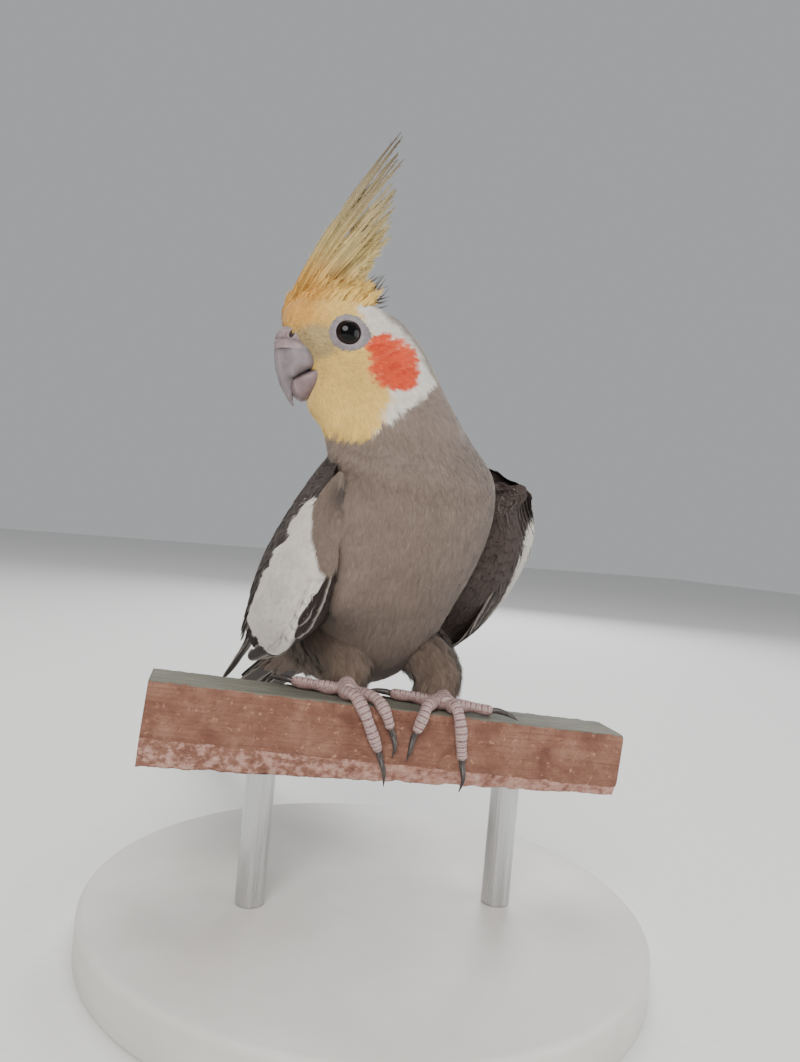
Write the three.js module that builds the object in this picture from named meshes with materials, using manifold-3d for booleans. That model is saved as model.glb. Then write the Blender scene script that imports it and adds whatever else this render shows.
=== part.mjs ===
// A life-size cockatiel gripping a short length of timber on a plain display stand.
// Units are millimetres, +Z is up and the bird's body faces -Y, so its left side is +X.
// The origin is the centre of the underside of the stand's base.
import * as THREE from 'three';
import { mergeVertices } from 'three/addons/utils/BufferGeometryUtils.js';
import Module from 'manifold-3d';

const wasm = await Module();
wasm.setup();

// Stand
const GAP = 0.3;
const SLOPE_GAP = 0.5;
const BASE_RADIUS = 78;
const BASE_THICKNESS = 12;
const BASE_BEVEL = 2;
const ROD_RADIUS = 4;
const ROD_SPACING = 70;

// Perch: a rough-sawn batten whose lower front corner is cut away more towards one end
const PERCH_TOP = 68;
const PERCH_CENTRE_Y = -6;
const PERCH_LENGTH = 132;
const PERCH_DEPTH = 18;
const PERCH_FACE = 15;
const PERCH_TILT = 4;
const PERCH_HEADING = -14;
const CHAMFER_DROP = [8.6, 2.6];
const CHAMFER_DEPTH = [4.2, 1.6];

// Body stations from the tail root to the shoulders, in the plane of symmetry.
// Heights are above the middle of the perch's top.
const BODY_Y = [71, 58, 43, 27, 12, 0, -7, -8.5];
const BODY_H = [8, 15, 22.5, 32, 42, 52, 63, 70];
const BODY_PITCH = [28, 32, 38, 42, 46, 50, 60, 70];
const BODY_X = [0, 0, 0, 0, 0, 0, -0.8, -3.2];
const BODY_HALF_WIDTH = [9, 14, 20.5, 25, 26.5, 26.5, 26, 25];
const BODY_BACK = [6.5, 11, 16, 20, 23.5, 24, 22, 18];
const BODY_BELLY = [6.5, 19, 31, 36.5, 31, 26.5, 23.5, 20];

// Neck and head stations: level slices, longer in the direction that the bill points
const HEAD_TURN = 101;
const HEAD_X = -22.9;
const HEAD_Y = 1;
const HEAD_H = 99.4;
const HEAD_UP = [-24, -19, -14, -9, -4, 0, 4, 7.5, 9.8];
const HEAD_FRONT = [5.4, 9, 8.4, 9.6, 13.8, 16.4, 16.8, 15, 11.8];
const HEAD_REAR = [40.5, 36.4, 32.8, 29.6, 26.4, 23.6, 20, 15, 8.6];
const HEAD_NEAR = [21, 17.6, 14.6, 13, 12.5, 11.6, 10.4, 8.4, 5.4];
const HEAD_FAR = [12, 12.6, 12.8, 12.8, 12.4, 11.6, 10.4, 8.4, 5.4];
const HEAD_TILT = [18, 8, 2, 0, 0, 0, 0, 0, 0];
const RING_SIDES = 24;
const BODY_RINGS = 14;
const HEAD_RINGS = 13;

// Planes that part the head and the neck, and the neck and the torso
const THROAT_DROP = 21.5;
const NAPE_DROP = 13;
const THROAT_F = 9;
const NAPE_F = -26;
const SHOULDER_H = 69;
const SHOULDER_SLOPE = 12;

// Crest, in the head's own frame: the front feathers are the longest and all lean back
const CROWN_CUT = 5.6;
const CREST_COUNT = 15;
const CREST_ROOT_F = [14.6, -5];
const CREST_ROOT_UP = 7.2;
const CREST_TIP_F = [-11.8, -5.5];
const CREST_TIP_EASE = 1.5;
const CREST_HEIGHT = [60, 10.5];
const CREST_FALL = 1.3;
const CREST_HALF_WIDTH = 1.9;
const CREST_BULGE = 7;
const CREST_TURN = 42;
const CREST_LANE = 1.3;
const CREST_WOBBLE = 0.9;
const CREST_SHAPE = [0.8, 1, 0.85, 0.5, 0.2];

// Bill and cere, as level slices in the head's own frame: height, rear, front, half width
const CERE = [
  [0.6, 11, 15.8, 3.4],
  [-1.6, 8, 17.4, 4.9],
  [-3.9, 6.4, 17.9, 5.6],
  [-6.0, 6.4, 17.7, 5.8],
];
const BILL_UPPER = [
  [-3.5, 4.6, 16.6, 5.1],
  [-6, 4.4, 17.9, 5.9],
  [-9, 5, 18, 5.9],
  [-11, 8.4, 17.8, 5.1],
  [-13, 11.4, 17.5, 4.0],
  [-15, 12.6, 17, 2.9],
  [-17, 13.1, 16, 1.9],
  [-19, 13, 14.8, 1.1],
  [-20.4, 12.9, 13.6, 0.4],
];
const BILL_LOWER = [
  [-8.6, 2, 5, 4.4],
  [-10.5, 2, 8, 5.1],
  [-13, 2.6, 12.2, 5.1],
  [-15.2, 4, 12.7, 4.6],
  [-17, 5.8, 12.1, 3.7],
  [-18.3, 7.4, 10.8, 2.4],
  [-18.9, 8.6, 9.8, 1],
];
const NOSTRIL = [14, 3.3, -2.2];
const NOSTRIL_RADIUS = 0.95;
const NOSTRIL_OUT = 1.2;
const BILL_SIDES = 12;
const BILL_SQUARENESS = 0.85;

// Eyes
const EYE_RADIUS = 4.6;
const EYE_SIDE = 7.4;
const EYE_UP = -1;
const LID_RADIUS = 4.0;
const LID_THICKNESS = 1.05;
const LID_SIDE = 10.6;

// Each wing's surface: lower edge, outermost line and upper edge, from the wrist to the longest tip.
// The first number is the distance from the plane of symmetry. The left wing is held out more.
const WING_REAR_LOW = [[27, 59, 0], [22, 90, -8], [16, 130, -20]];
const WING_REAR_MID = [[18.5, 92, -1], [13.5, 131, -17.5]];
const WING_REAR_HIGH = [[10.8, 40, 47], [8.8, 54, 36.5], [8, 66, 26], [8.5, 92, 6], [10.5, 132, -16.5]];
const WINGS = {
  left: {
    side: 1,
    low: [[31.5, -12, 55], [35.5, -9, 45.5], [36.5, -3, 36], [37, 6, 26], [36, 18, 15.5], [32, 38, 7],
      ...WING_REAR_LOW],
    mid: [[34.5, -12, 60], [40, -5, 54.5], [41.5, 4, 47], [42, 17, 37.5], [39.5, 31, 28], [32.5, 47, 19.5],
      [25, 65, 11.5], ...WING_REAR_MID],
    high: [[28.5, -11, 65], [25, -2, 68.5], [19, 12, 65], [14, 27, 57.5], ...WING_REAR_HIGH],
  },
  right: {
    side: -1,
    low: [[26.5, -15, 54], [28, -12.5, 44], [29.5, -9, 34.5], [31, -2, 24.5], [31.5, 10, 15], [30, 34, 7],
      ...WING_REAR_LOW],
    mid: [[28.5, -13, 59], [31.5, -4, 53], [32.5, 8, 46], [32.5, 21, 38], [31, 34, 29], [27.5, 48, 20],
      [22.5, 65, 11.5], ...WING_REAR_MID],
    high: [[24, -10, 66], [21.5, 0, 69], [17, 13, 64.5], [13, 27, 57], ...WING_REAR_HIGH],
  },
};
const WING_CORE_THICKNESS = [6, 11, 13, 13, 10, 4];
const WING_CORE_START = 0.1;
const WING_CORE_END = 4.9;
const WING_CORE_RINGS = 9;

// Feather rows of a wing. A place is stations along the surface and the way across it, 0 at the lower edge.
// Each row runs from its first feather to its last: root, tip, lift above the surface, width and slant.
const VANE_THICKNESS = 0.55;
const SHAFT_THICKNESS = 0.8;
const LONG_STEPS = [0, 0.4, 0.75, 0.92, 1];
const LONG_SHAPE = [0.75, 1, 0.95, 0.6, 0.16];
const SHORT_STEPS = [0, 0.5, 0.85, 1];
const SHORT_SHAPE = [0.8, 1, 0.75, 0.3];
const WING_ROWS = [
  { name: 'primaries', count: 6, root: [[3.9, 0.42], [3.2, 0.08]], tip: [[6.15, 0.62], [8, 0.45]],
    lift: [[-1.3, -2.6], [-1.5, -3]], width: [4.2, 3.6], slant: 15, steps: LONG_STEPS, shape: LONG_SHAPE },
  { name: 'secondaries', count: 4, root: [[3.7, 0.28], [3.6, 0.78]], tip: [[5.5, 0.28], [5.95, 0.7]],
    lift: [[-0.9, -0.2], [-0.9, 0.1]], width: [5.4, 5.4], slant: 11, steps: LONG_STEPS, shape: LONG_SHAPE },
  { name: 'tertials', count: 3, root: [[3.0, 0.82], [2.8, 0.97]], tip: [[6.15, 0.8], [5.4, 0.97]],
    lift: [[-0.9, 1.2], [-0.9, 1.6]], width: [5.6, 4.6], slant: 12, steps: LONG_STEPS, shape: LONG_SHAPE },
  { name: 'greater_coverts', count: 5, root: [[2.6, 0.16], [2.4, 0.84]], tip: [[4.25, 0.14], [4.2, 0.84]],
    lift: [[-0.9, 1.0], [-0.9, 1.2]], width: [5.2, 5.6], slant: 8, steps: SHORT_STEPS, shape: SHORT_SHAPE },
  { name: 'primary_coverts', count: 3, root: [[1.2, 0.06], [2.6, 0.04]], tip: [[2.9, 0.05], [4.3, 0.05]],
    lift: [[-0.8, 1.5], [-0.8, 0.8]], width: [3, 3], slant: 6, steps: SHORT_STEPS, shape: SHORT_SHAPE },
  { name: 'median_coverts', count: 4, root: [[1.8, 0.22], [1.6, 0.9]], tip: [[2.95, 0.2], [2.8, 0.9]],
    lift: [[-0.9, 1.3], [-0.9, 1.5]], width: [5, 5.6], slant: 8, steps: SHORT_STEPS, shape: SHORT_SHAPE },
  { name: 'lesser_coverts', count: 4, root: [[1.0, 0.24], [0.9, 0.9]], tip: [[2.0, 0.24], [1.85, 0.9]],
    lift: [[-0.9, 1.4], [-0.9, 1.5]], width: [4.8, 5.4], slant: 8, steps: SHORT_STEPS, shape: SHORT_SHAPE },
  { name: 'wrist_coverts', count: 3, root: [[0.4, 0.3], [0.4, 0.86]], tip: [[1.25, 0.28], [1.15, 0.88]],
    lift: [[-0.9, 1.4], [-0.9, 1.5]], width: [4.8, 5.2], slant: 8, steps: SHORT_STEPS, shape: SHORT_SHAPE },
];

// Tail
const TAIL_PITCH = 26;
const TAIL_ROOT = [71.6, 7.8];
const TAIL_LENGTHS = [150, 133, 116, 99, 82, 66];
const TAIL_FAN = [0.6, 1.3, 2.1, 2.9, 3.8, 4.8];
const TAIL_OUTER_WIDTH = [5.2, 4, 3.8, 3.6, 3.4, 3.2];
const TAIL_INNER_WIDTH = [5.2, 5.6, 5.6, 5.4, 5, 4.6];
const TAIL_LAYER = 0.95;
const TAIL_SHAFT_SPREAD = 0.55;
const TAIL_SHAPE = [0.8, 1, 0.9, 0.55, 0.14];
const TAIL_COVERTS = 3;
const TAIL_COVERT_LENGTH = 30;
const TAIL_COVERT_HALF_WIDTH = 4.2;
const TAIL_COVERT_FAN = 5;
const TAIL_COVERT_SPACING = 4.6;

// Legs, in the perch's frame: along it to the bird's left, back over it, up from its top
const FOOT_AT = [[-14, 0.2], [13.5, -1.5]];
const PALM_RADIUS = 2.8;
const ANKLE = [7, 5.6];
const KNEE = [14, 16];
const THIGH_RADII = [8, 6, 2.8];
const SHANK_RADII = [2.2, 2.2, 2.5];
const TOE_RADIUS = 1.8;
const TOE_TAPER = [1, 0.95, 0.78];
const CLAW_RADII = [1.15, 0.8, 0.3];

const COLOURS = {
  grey: 0x7f776f, yellow: 0xe8cd5c, face: 0xe9d873, white: 0xe9e6df, flight: 0x4a443f, horn: 0xa49a9a,
  cere: 0xb0a5a8, eye: 0x0c0a09, skin: 0xc39a90, claw: 0x3d3733, wood: 0x9a5440, metal: 0xb9babb,
  base: 0xd8d6d1,
};

// Larger than the whole part, for halves of space
const SPACE = 600;
const up = new THREE.Vector3(0, 0, 1);
const radians = THREE.MathUtils.degToRad;
const vec = (x, y, z) => new THREE.Vector3(x, y, z);
const mix = THREE.MathUtils.lerp;

// A smooth value at a fractional place in a list of numbers
function spline(list, place) {
  const last = list.length - 1;
  const i = Math.min(Math.max(Math.floor(place), 0), last - 1);
  const t = place - i;
  const at = (k) => list[Math.min(Math.max(k, 0), last)];
  const a = at(i);
  const b = at(i + 1);
  const slopeA = i > 0 ? (b - at(i - 1)) / 2 : b - a;
  const slopeB = i < last - 1 ? (at(i + 2) - a) / 2 : b - a;
  const t2 = t * t;
  const t3 = t2 * t;
  return (2 * t3 - 3 * t2 + 1) * a + (t3 - 2 * t2 + t) * slopeA + (3 * t2 - 2 * t3) * b + (t3 - t2) * slopeB;
}

function splinePoint(points, place) {
  return vec(...[0, 1, 2].map((k) => spline(points.map((p) => p[k]), place)));
}

// Geometry from points and faces, turned outwards if its volume comes out negative
function shell(points, faces) {
  let volume = 0;
  for (const [a, b, c] of faces) {
    volume += points[a].dot(new THREE.Vector3().crossVectors(points[b], points[c]));
  }
  const turned = volume < 0 ? faces.map(([a, b, c]) => [a, c, b]) : faces;
  const geometry = new THREE.BufferGeometry();
  const positions = points.flatMap((p) => [p.x, p.y, p.z]);
  geometry.setAttribute('position', new THREE.Float32BufferAttribute(positions, 3));
  geometry.setIndex(turned.flat());
  return geometry;
}

// A closed solid through rings of equally many points, with a fan over each end
function loft(rings) {
  const count = rings[0].length;
  const points = rings.flat();
  const faces = [];
  for (let r = 0; r < rings.length - 1; r += 1) {
    for (let k = 0; k < count; k += 1) {
      const a = r * count + k;
      const b = r * count + ((k + 1) % count);
      faces.push([a, b, b + count], [a, b + count, a + count]);
    }
  }
  for (const [start, flip] of [[0, true], [(rings.length - 1) * count, false]]) {
    const centre = vec(0, 0, 0);
    for (let k = 0; k < count; k += 1) centre.addScaledVector(points[start + k], 1 / count);
    points.push(centre);
    for (let k = 0; k < count; k += 1) {
      const a = start + k;
      const b = start + ((k + 1) % count);
      faces.push(flip ? [b, a, points.length - 1] : [a, b, points.length - 1]);
    }
  }
  return shell(points, faces);
}

function solid(geometry) {
  const bare = geometry.clone();
  bare.deleteAttribute('normal');
  bare.deleteAttribute('uv');
  const merged = mergeVertices(bare, 1e-5);
  const mesh = new wasm.Mesh({
    numProp: 3,
    vertProperties: new Float32Array(merged.attributes.position.array),
    triVerts: new Uint32Array(merged.index.array),
  });
  return new wasm.Manifold(mesh);
}

// The largest closed surface, without sealed hollows or scraps
function largest(body) {
  const pieces = body.decompose();
  return pieces.reduce((best, piece) => (piece.volume() > best.volume() ? piece : best));
}

function geometryOf(body) {
  const mesh = largest(body).getMesh();
  const geometry = new THREE.BufferGeometry();
  geometry.setAttribute('position', new THREE.Float32BufferAttribute(mesh.vertProperties, 3));
  geometry.setIndex(Array.from(mesh.triVerts));
  return geometry;
}

// All the space on the side of a plane that its normal points to
function halfSpace(point, normal) {
  const box = new THREE.BoxGeometry(SPACE, SPACE, SPACE);
  box.translate(0, 0, SPACE / 2);
  box.applyQuaternion(new THREE.Quaternion().setFromUnitVectors(up, normal.clone().normalize()));
  box.translate(point.x, point.y, point.z);
  return solid(box);
}

// A thin closed plate through stations, each with its middle, the way across, the face's normal and
// two half widths. Both faces are split into the same triangles. A shaft thickens the middle.
function vane(stations, shaft = true) {
  const points = [];
  for (const { at, across, normal, outer, inner } of stations) {
    const columns = [[-outer, VANE_THICKNESS], [inner, VANE_THICKNESS]];
    if (shaft) columns.splice(1, 0, [0, SHAFT_THICKNESS]);
    for (const face of [1, -1]) {
      for (const [offset, thickness] of columns) {
        points.push(at.clone().addScaledVector(across, offset).addScaledVector(normal, (face * thickness) / 2));
      }
    }
  }
  const wide = shaft ? 3 : 2;
  const stride = 2 * wide;
  const faces = [];
  const quad = (a, b, c, d) => faces.push([a, b, c], [a, c, d]);
  const end = (stations.length - 1) * stride;
  for (let a = 0; a < end; a += stride) {
    const b = a + stride;
    for (let c = 0; c < wide - 1; c += 1) {
      const under = a + wide + c;
      quad(a + c, a + c + 1, b + c + 1, b + c);
      faces.push([under, under + stride + 1, under + 1], [under, under + stride, under + stride + 1]);
    }
    quad(a + wide, a, b, b + wide);
    quad(a + wide - 1, b - 1, b + stride - 1, b + wide - 1);
  }
  for (let c = 0; c < wide - 1; c += 1) {
    quad(c + 1, c, c + wide, c + wide + 1);
    quad(end + c, end + c + 1, end + c + wide + 1, end + c + wide);
  }
  return solid(shell(points, faces));
}

const group = new THREE.Group();
const SIDES = [['left', 1], ['right', -1]];

function addNode(name, geometry, colour, roughness = 0.8, metalness = 0) {
  const material = new THREE.MeshStandardMaterial({ color: colour, roughness, metalness });
  const mesh = new THREE.Mesh(geometry, material);
  mesh.name = name;
  group.add(mesh);
}

// The head's frame: forward along the bill, to the head's left, up
const headForward = vec(-Math.sin(radians(HEAD_TURN)), -Math.cos(radians(HEAD_TURN)), 0);
const headLeft = vec(-headForward.y, headForward.x, 0);
const headOrigin = vec(HEAD_X, HEAD_Y, PERCH_TOP + HEAD_H);

function headPoint(forward, left, rise) {
  return headOrigin.clone().addScaledVector(headForward, forward).addScaledVector(headLeft, left)
    .addScaledVector(up, rise);
}

// A ring with its own reach in four directions
function ring(centre, sideAxis, frontAxis, reach, sides = RING_SIDES, power = 1) {
  const [left, right, front, back] = reach;
  const points = [];
  for (let k = 0; k < sides; k += 1) {
    const angle = (2 * Math.PI * k) / sides;
    const c = Math.cos(angle);
    const s = Math.sin(angle);
    const cs = Math.sign(c) * Math.abs(c) ** power;
    const ss = Math.sign(s) * Math.abs(s) ** power;
    points.push(centre.clone().addScaledVector(sideAxis, cs * (c > 0 ? left : right))
      .addScaledVector(frontAxis, ss * (s > 0 ? front : back)));
  }
  return points;
}

// One smooth body from the tail root over the shoulders to the crown
function bodySolid(grow = 0) {
  const rings = [];
  for (let k = 0; k < BODY_RINGS; k += 1) {
    const place = (k / (BODY_RINGS - 1)) * (BODY_Y.length - 1);
    const pitch = radians(spline(BODY_PITCH, place));
    const centre = vec(spline(BODY_X, place), spline(BODY_Y, place), PERCH_TOP + spline(BODY_H, place));
    const belly = vec(0, -Math.sin(pitch), -Math.cos(pitch));
    const half = spline(BODY_HALF_WIDTH, place) + grow;
    if (k === 0) centre.addScaledVector(vec(0, Math.cos(pitch), -Math.sin(pitch)), grow);
    rings.push(ring(centre, vec(1, 0, 0), belly,
      [half, half, spline(BODY_BELLY, place) + grow, spline(BODY_BACK, place) + grow]));
  }
  for (let k = 0; k < HEAD_RINGS; k += 1) {
    const place = (k / (HEAD_RINGS - 1)) * (HEAD_UP.length - 1);
    const front = spline(HEAD_FRONT, place) + grow;
    const rear = spline(HEAD_REAR, place) + grow;
    const rise = spline(HEAD_UP, place) + (k === HEAD_RINGS - 1 ? grow : 0);
    const centre = headPoint((front - rear) / 2, 0, rise);
    const half = (front + rear) / 2;
    const tilt = radians(spline(HEAD_TILT, place));
    const near = headLeft.clone().multiplyScalar(Math.cos(tilt)).addScaledVector(up, -Math.sin(tilt));
    rings.push(ring(centre, headForward.clone().negate(), near,
      [half, half, spline(HEAD_NEAR, place) + grow, spline(HEAD_FAR, place) + grow]));
  }
  return solid(loft(rings));
}

const body = bodySolid();
const bodyGrown = bodySolid(SLOPE_GAP);

// The two parting planes
const throat = headPoint(THROAT_F, 0, -THROAT_DROP);
const nape = headPoint(NAPE_F, 0, -NAPE_DROP);
const neckNormal = new THREE.Vector3().crossVectors(throat.clone().sub(nape), headLeft).normalize();
if (neckNormal.z < 0) neckNormal.negate();
const shoulderNormal = vec(0, -Math.sin(radians(SHOULDER_SLOPE)), Math.cos(radians(SHOULDER_SLOPE)));
const shoulder = vec(0, PERCH_CENTRE_Y, PERCH_TOP + SHOULDER_H);

function above(point, normal, shift) {
  return halfSpace(point.clone().addScaledVector(normal, shift), normal);
}

function below(point, normal, shift) {
  return halfSpace(point.clone().addScaledVector(normal, shift), normal.clone().negate());
}

const torso = body.intersect(below(shoulder, shoulderNormal, -GAP / 2));
const neck = body.intersect(above(shoulder, shoulderNormal, GAP / 2))
  .intersect(below(throat, neckNormal, -GAP / 2));
const wholeHead = body.intersect(above(throat, neckNormal, GAP / 2));

// Slices of the bill as rings in the head's frame
function billSolid(slices, grow = 0) {
  const rings = slices.map(([rise, rear, front, half]) => {
    const reach = (front - rear) / 2 + grow;
    const centre = headPoint((rear + front) / 2, 0, rise);
    const reaches = [reach, reach, half + grow, half + grow];
    return ring(centre, headForward, headLeft, reaches, BILL_SIDES, BILL_SQUARENESS);
  });
  return solid(loft(rings));
}

function ball(centre, radius, segments = 16) {
  const sphere = new THREE.SphereGeometry(radius, segments, Math.round(segments / 2));
  sphere.translate(centre.x, centre.y, centre.z);
  return solid(sphere);
}

const cere = billSolid(CERE);
const billUpper = billSolid(BILL_UPPER);
const billLower = billSolid(BILL_LOWER);
let nostrilCere = cere;
for (const side of [-1, 1]) {
  const at = headPoint(NOSTRIL[0], side * (NOSTRIL[1] + NOSTRIL_OUT), NOSTRIL[2]);
  nostrilCere = nostrilCere.subtract(ball(at, NOSTRIL_RADIUS, 10));
}

// The head with a raised lid around each eye, and sockets for the eyes and the bill
let head = wholeHead;
for (const side of [-1, 1]) {
  const lid = new THREE.TorusGeometry(LID_RADIUS, LID_THICKNESS, 5, 14);
  lid.applyQuaternion(new THREE.Quaternion().setFromUnitVectors(up, headLeft));
  const at = headPoint(0, side * LID_SIDE, EYE_UP);
  lid.translate(at.x, at.y, at.z);
  head = head.add(solid(lid));
}
for (const side of [-1, 1]) {
  head = head.subtract(ball(headPoint(0, side * EYE_SIDE, EYE_UP), EYE_RADIUS + GAP));
}
for (const slices of [CERE, BILL_UPPER, BILL_LOWER]) head = head.subtract(billSolid(slices, GAP));

// The crest grows from the top of the crown, which is its own piece
const crownCut = headPoint(0, 0, CROWN_CUT);
const crown = head.intersect(above(crownCut, up, GAP / 2));
head = head.intersect(below(crownCut, up, -GAP / 2));
let crest = crown;
for (let k = 0; k < CREST_COUNT; k += 1) {
  const t = k / (CREST_COUNT - 1);
  const lane = (k % 2) * 2 - 1;
  const wobble = Math.sin(k * 2.4);
  const root = headPoint(mix(CREST_ROOT_F[0], CREST_ROOT_F[1], t), lane * CREST_LANE, CREST_ROOT_UP);
  const rise = CREST_HEIGHT[0] * (1 - t) ** CREST_FALL + CREST_HEIGHT[1] * t;
  const tip = headPoint(mix(CREST_TIP_F[0], CREST_TIP_F[1], t ** CREST_TIP_EASE) - wobble * CREST_WOBBLE,
    lane * CREST_WOBBLE, rise);
  const bend = root.clone().lerp(tip, 0.5).addScaledVector(headForward, CREST_BULGE * (1 - t));
  const curve = new THREE.QuadraticBezierCurve3(root, bend, tip);
  const stations = LONG_STEPS.map((u, n) => {
    const along = curve.getTangent(u);
    const side = headLeft.clone().applyAxisAngle(along, radians(CREST_TURN));
    const normal = new THREE.Vector3().crossVectors(side, along).normalize();
    const across = new THREE.Vector3().crossVectors(along, normal).normalize();
    const width = CREST_HALF_WIDTH * CREST_SHAPE[n];
    return { at: curve.getPoint(u), across, normal, outer: width, inner: width };
  });
  crest = crest.add(vane(stations, false));
}

// A wing's surface: along from wrist to tip, across from lower to upper edge
function wingPoint(edges, along, across) {
  const low = splinePoint(edges.low, along);
  const mid = splinePoint(edges.mid, along);
  const high = splinePoint(edges.high, along);
  const control = mid.clone().multiplyScalar(2).addScaledVector(low, -0.5).addScaledVector(high, -0.5);
  const back = 1 - across;
  const point = low.multiplyScalar(back * back).addScaledVector(control, 2 * back * across)
    .addScaledVector(high, across * across);
  point.x *= edges.side;
  point.z += PERCH_TOP;
  return point;
}

function wingNormal(edges, along, across) {
  const step = 0.02;
  const forward = wingPoint(edges, along + step, across).sub(wingPoint(edges, along - step, across));
  const over = wingPoint(edges, along, across + step).sub(wingPoint(edges, along, across - step));
  return new THREE.Vector3().crossVectors(forward, over).normalize().multiplyScalar(edges.side);
}

const ACROSS_OUT = [0, 0.16, 0.36, 0.6, 0.84, 1];
const ACROSS_IN = [0.88, 0.65, 0.4, 0.15];

// The fleshy forepart of a folded wing, which the coverts lie on
function wingCore(edges) {
  const rings = [];
  for (let k = 0; k < WING_CORE_RINGS; k += 1) {
    const along = mix(WING_CORE_START, WING_CORE_END, k / (WING_CORE_RINGS - 1));
    const thickness = spline(WING_CORE_THICKNESS, along);
    const outer = ACROSS_OUT.map((across) => wingPoint(edges, along, across));
    const inner = ACROSS_IN.map((across) => wingPoint(edges, along, across)
      .addScaledVector(wingNormal(edges, along, across), -thickness * Math.sin(Math.PI * across) ** 0.6));
    rings.push([...outer, ...inner]);
  }
  return solid(loft(rings));
}

// One feather on a wing, its lower side raised by the slant so that it lies over the next one down
function wingFeather(edges, row, t) {
  const pair = (list, k) => mix(list[0][k], list[1][k], t);
  const between = (k, u) => mix(pair(row.root, k), pair(row.tip, k), u);
  const place = (u) => [between(0, u), between(1, u)];
  const slope = Math.tan(radians(row.slant));
  const width = mix(row.width[0], row.width[1], t);
  const stations = row.steps.map((u, n) => {
    const [along, across] = place(u);
    const normal = wingNormal(edges, along, across);
    const lift = mix(pair(row.lift, 0), pair(row.lift, 1), u);
    const at = wingPoint(edges, along, across).addScaledVector(normal, lift);
    const ahead = wingPoint(edges, ...place(u + 0.02)).sub(wingPoint(edges, ...place(u - 0.02)));
    const side = new THREE.Vector3().crossVectors(normal, ahead).normalize().multiplyScalar(edges.side);
    side.addScaledVector(normal, -slope).normalize();
    return { at, across: side, normal, outer: width * row.shape[n], inner: width * row.shape[n] };
  });
  return vane(stations, false);
}

function wingSolid(edges) {
  let wing = wingCore(edges);
  for (const row of WING_ROWS) {
    for (let k = 0; k < row.count; k += 1) wing = wing.add(wingFeather(edges, row, k / (row.count - 1)));
  }
  return wing;
}

// The tail's frame: back along the feathers, up from their faces
const tailBack = vec(0, Math.cos(radians(TAIL_PITCH)), -Math.sin(radians(TAIL_PITCH)));
const tailUp = vec(0, Math.sin(radians(TAIL_PITCH)), Math.cos(radians(TAIL_PITCH)));
const tailOrigin = vec(0, TAIL_ROOT[0], PERCH_TOP + TAIL_ROOT[1]);

function tailPoint(side, back, rise) {
  return tailOrigin.clone().add(vec(side, 0, 0)).addScaledVector(tailBack, back)
    .addScaledVector(tailUp, rise);
}

function tailRing(back, half, top, bottom) {
  return ring(tailPoint(0, back, 0), vec(1, 0, 0), tailUp, [half, half, top, bottom], 16);
}

// One straight feather of the tail, fanned out from the middle by an angle
function tailFeather(side, fan, start, length, rise, outer, inner, steps, shape) {
  const angle = side * radians(fan);
  const lean = vec(Math.sin(angle), 0, 0).addScaledVector(tailBack, Math.cos(angle));
  const across = new THREE.Vector3().crossVectors(lean, tailUp).normalize().multiplyScalar(-side);
  const stations = steps.map((u, n) => ({
    at: tailPoint(start[0], start[1], mix(rise[0], rise[1], u)).addScaledVector(lean, length * u),
    across,
    normal: tailUp,
    outer: inner * shape[n],
    inner: outer * shape[n],
  }));
  return vane(stations, steps === LONG_STEPS);
}

let tail = solid(loft([tailRing(-2, 8.6, 6, 6), tailRing(6, 8.4, 4.6, 6), tailRing(17, 7, 1.6, 5)]));
for (let k = TAIL_LENGTHS.length - 1; k >= 0; k -= 1) {
  for (const side of [-1, 1]) {
    const rise = 0.6 - TAIL_LAYER * k - (side < 0 ? TAIL_LAYER * 0.5 : 0) - (k > 0 ? TAIL_LAYER * 0.5 : 0);
    const start = [side * (1.2 + TAIL_SHAFT_SPREAD * k), 3];
    tail = tail.add(tailFeather(side, TAIL_FAN[k], start, TAIL_LENGTHS[k] - start[1], [rise, rise],
      TAIL_OUTER_WIDTH[k], TAIL_INNER_WIDTH[k], LONG_STEPS, TAIL_SHAPE));
  }
}
for (let k = 0; k < TAIL_COVERTS; k += 1) {
  const place = k - (TAIL_COVERTS - 1) / 2;
  const length = TAIL_COVERT_LENGTH - 3 * Math.abs(place);
  const layer = (k % 2) * TAIL_LAYER;
  for (const [root, tip] of [[3.6, 2 + layer], [-5, -6.4 - layer]]) {
    tail = tail.add(tailFeather(1, place * TAIL_COVERT_FAN, [place * TAIL_COVERT_SPACING, 0], length,
      [root, tip], TAIL_COVERT_HALF_WIDTH, TAIL_COVERT_HALF_WIDTH, SHORT_STEPS, SHORT_SHAPE));
  }
}
tail = tail.subtract(bodyGrown);

// The perch's frame
const perchAlong = vec(Math.cos(radians(PERCH_HEADING)) * Math.cos(radians(PERCH_TILT)),
  Math.sin(radians(PERCH_HEADING)) * Math.cos(radians(PERCH_TILT)), -Math.sin(radians(PERCH_TILT)));
const perchBack = vec(-Math.sin(radians(PERCH_HEADING)), Math.cos(radians(PERCH_HEADING)), 0);
const perchUp = new THREE.Vector3().crossVectors(perchAlong, perchBack);
const perchOrigin = vec(0, PERCH_CENTRE_Y, PERCH_TOP);

function perchPoint([along, back, rise]) {
  return perchOrigin.clone().addScaledVector(perchAlong, along).addScaledVector(perchBack, back)
    .addScaledVector(perchUp, rise);
}

function perchSolid(grow = 0) {
  const ends = [-1, 1].map((end, k) => {
    const along = end * (PERCH_LENGTH / 2 + grow);
    const half = PERCH_DEPTH / 2 + grow;
    const bottom = -PERCH_FACE - CHAMFER_DROP[k] - grow;
    return [
      [along, -half, grow], [along, -half, -PERCH_FACE], [along, -half + CHAMFER_DEPTH[k], bottom],
      [along, half, bottom], [along, half, grow],
    ].map(perchPoint);
  });
  return solid(loft(ends));
}

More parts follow.
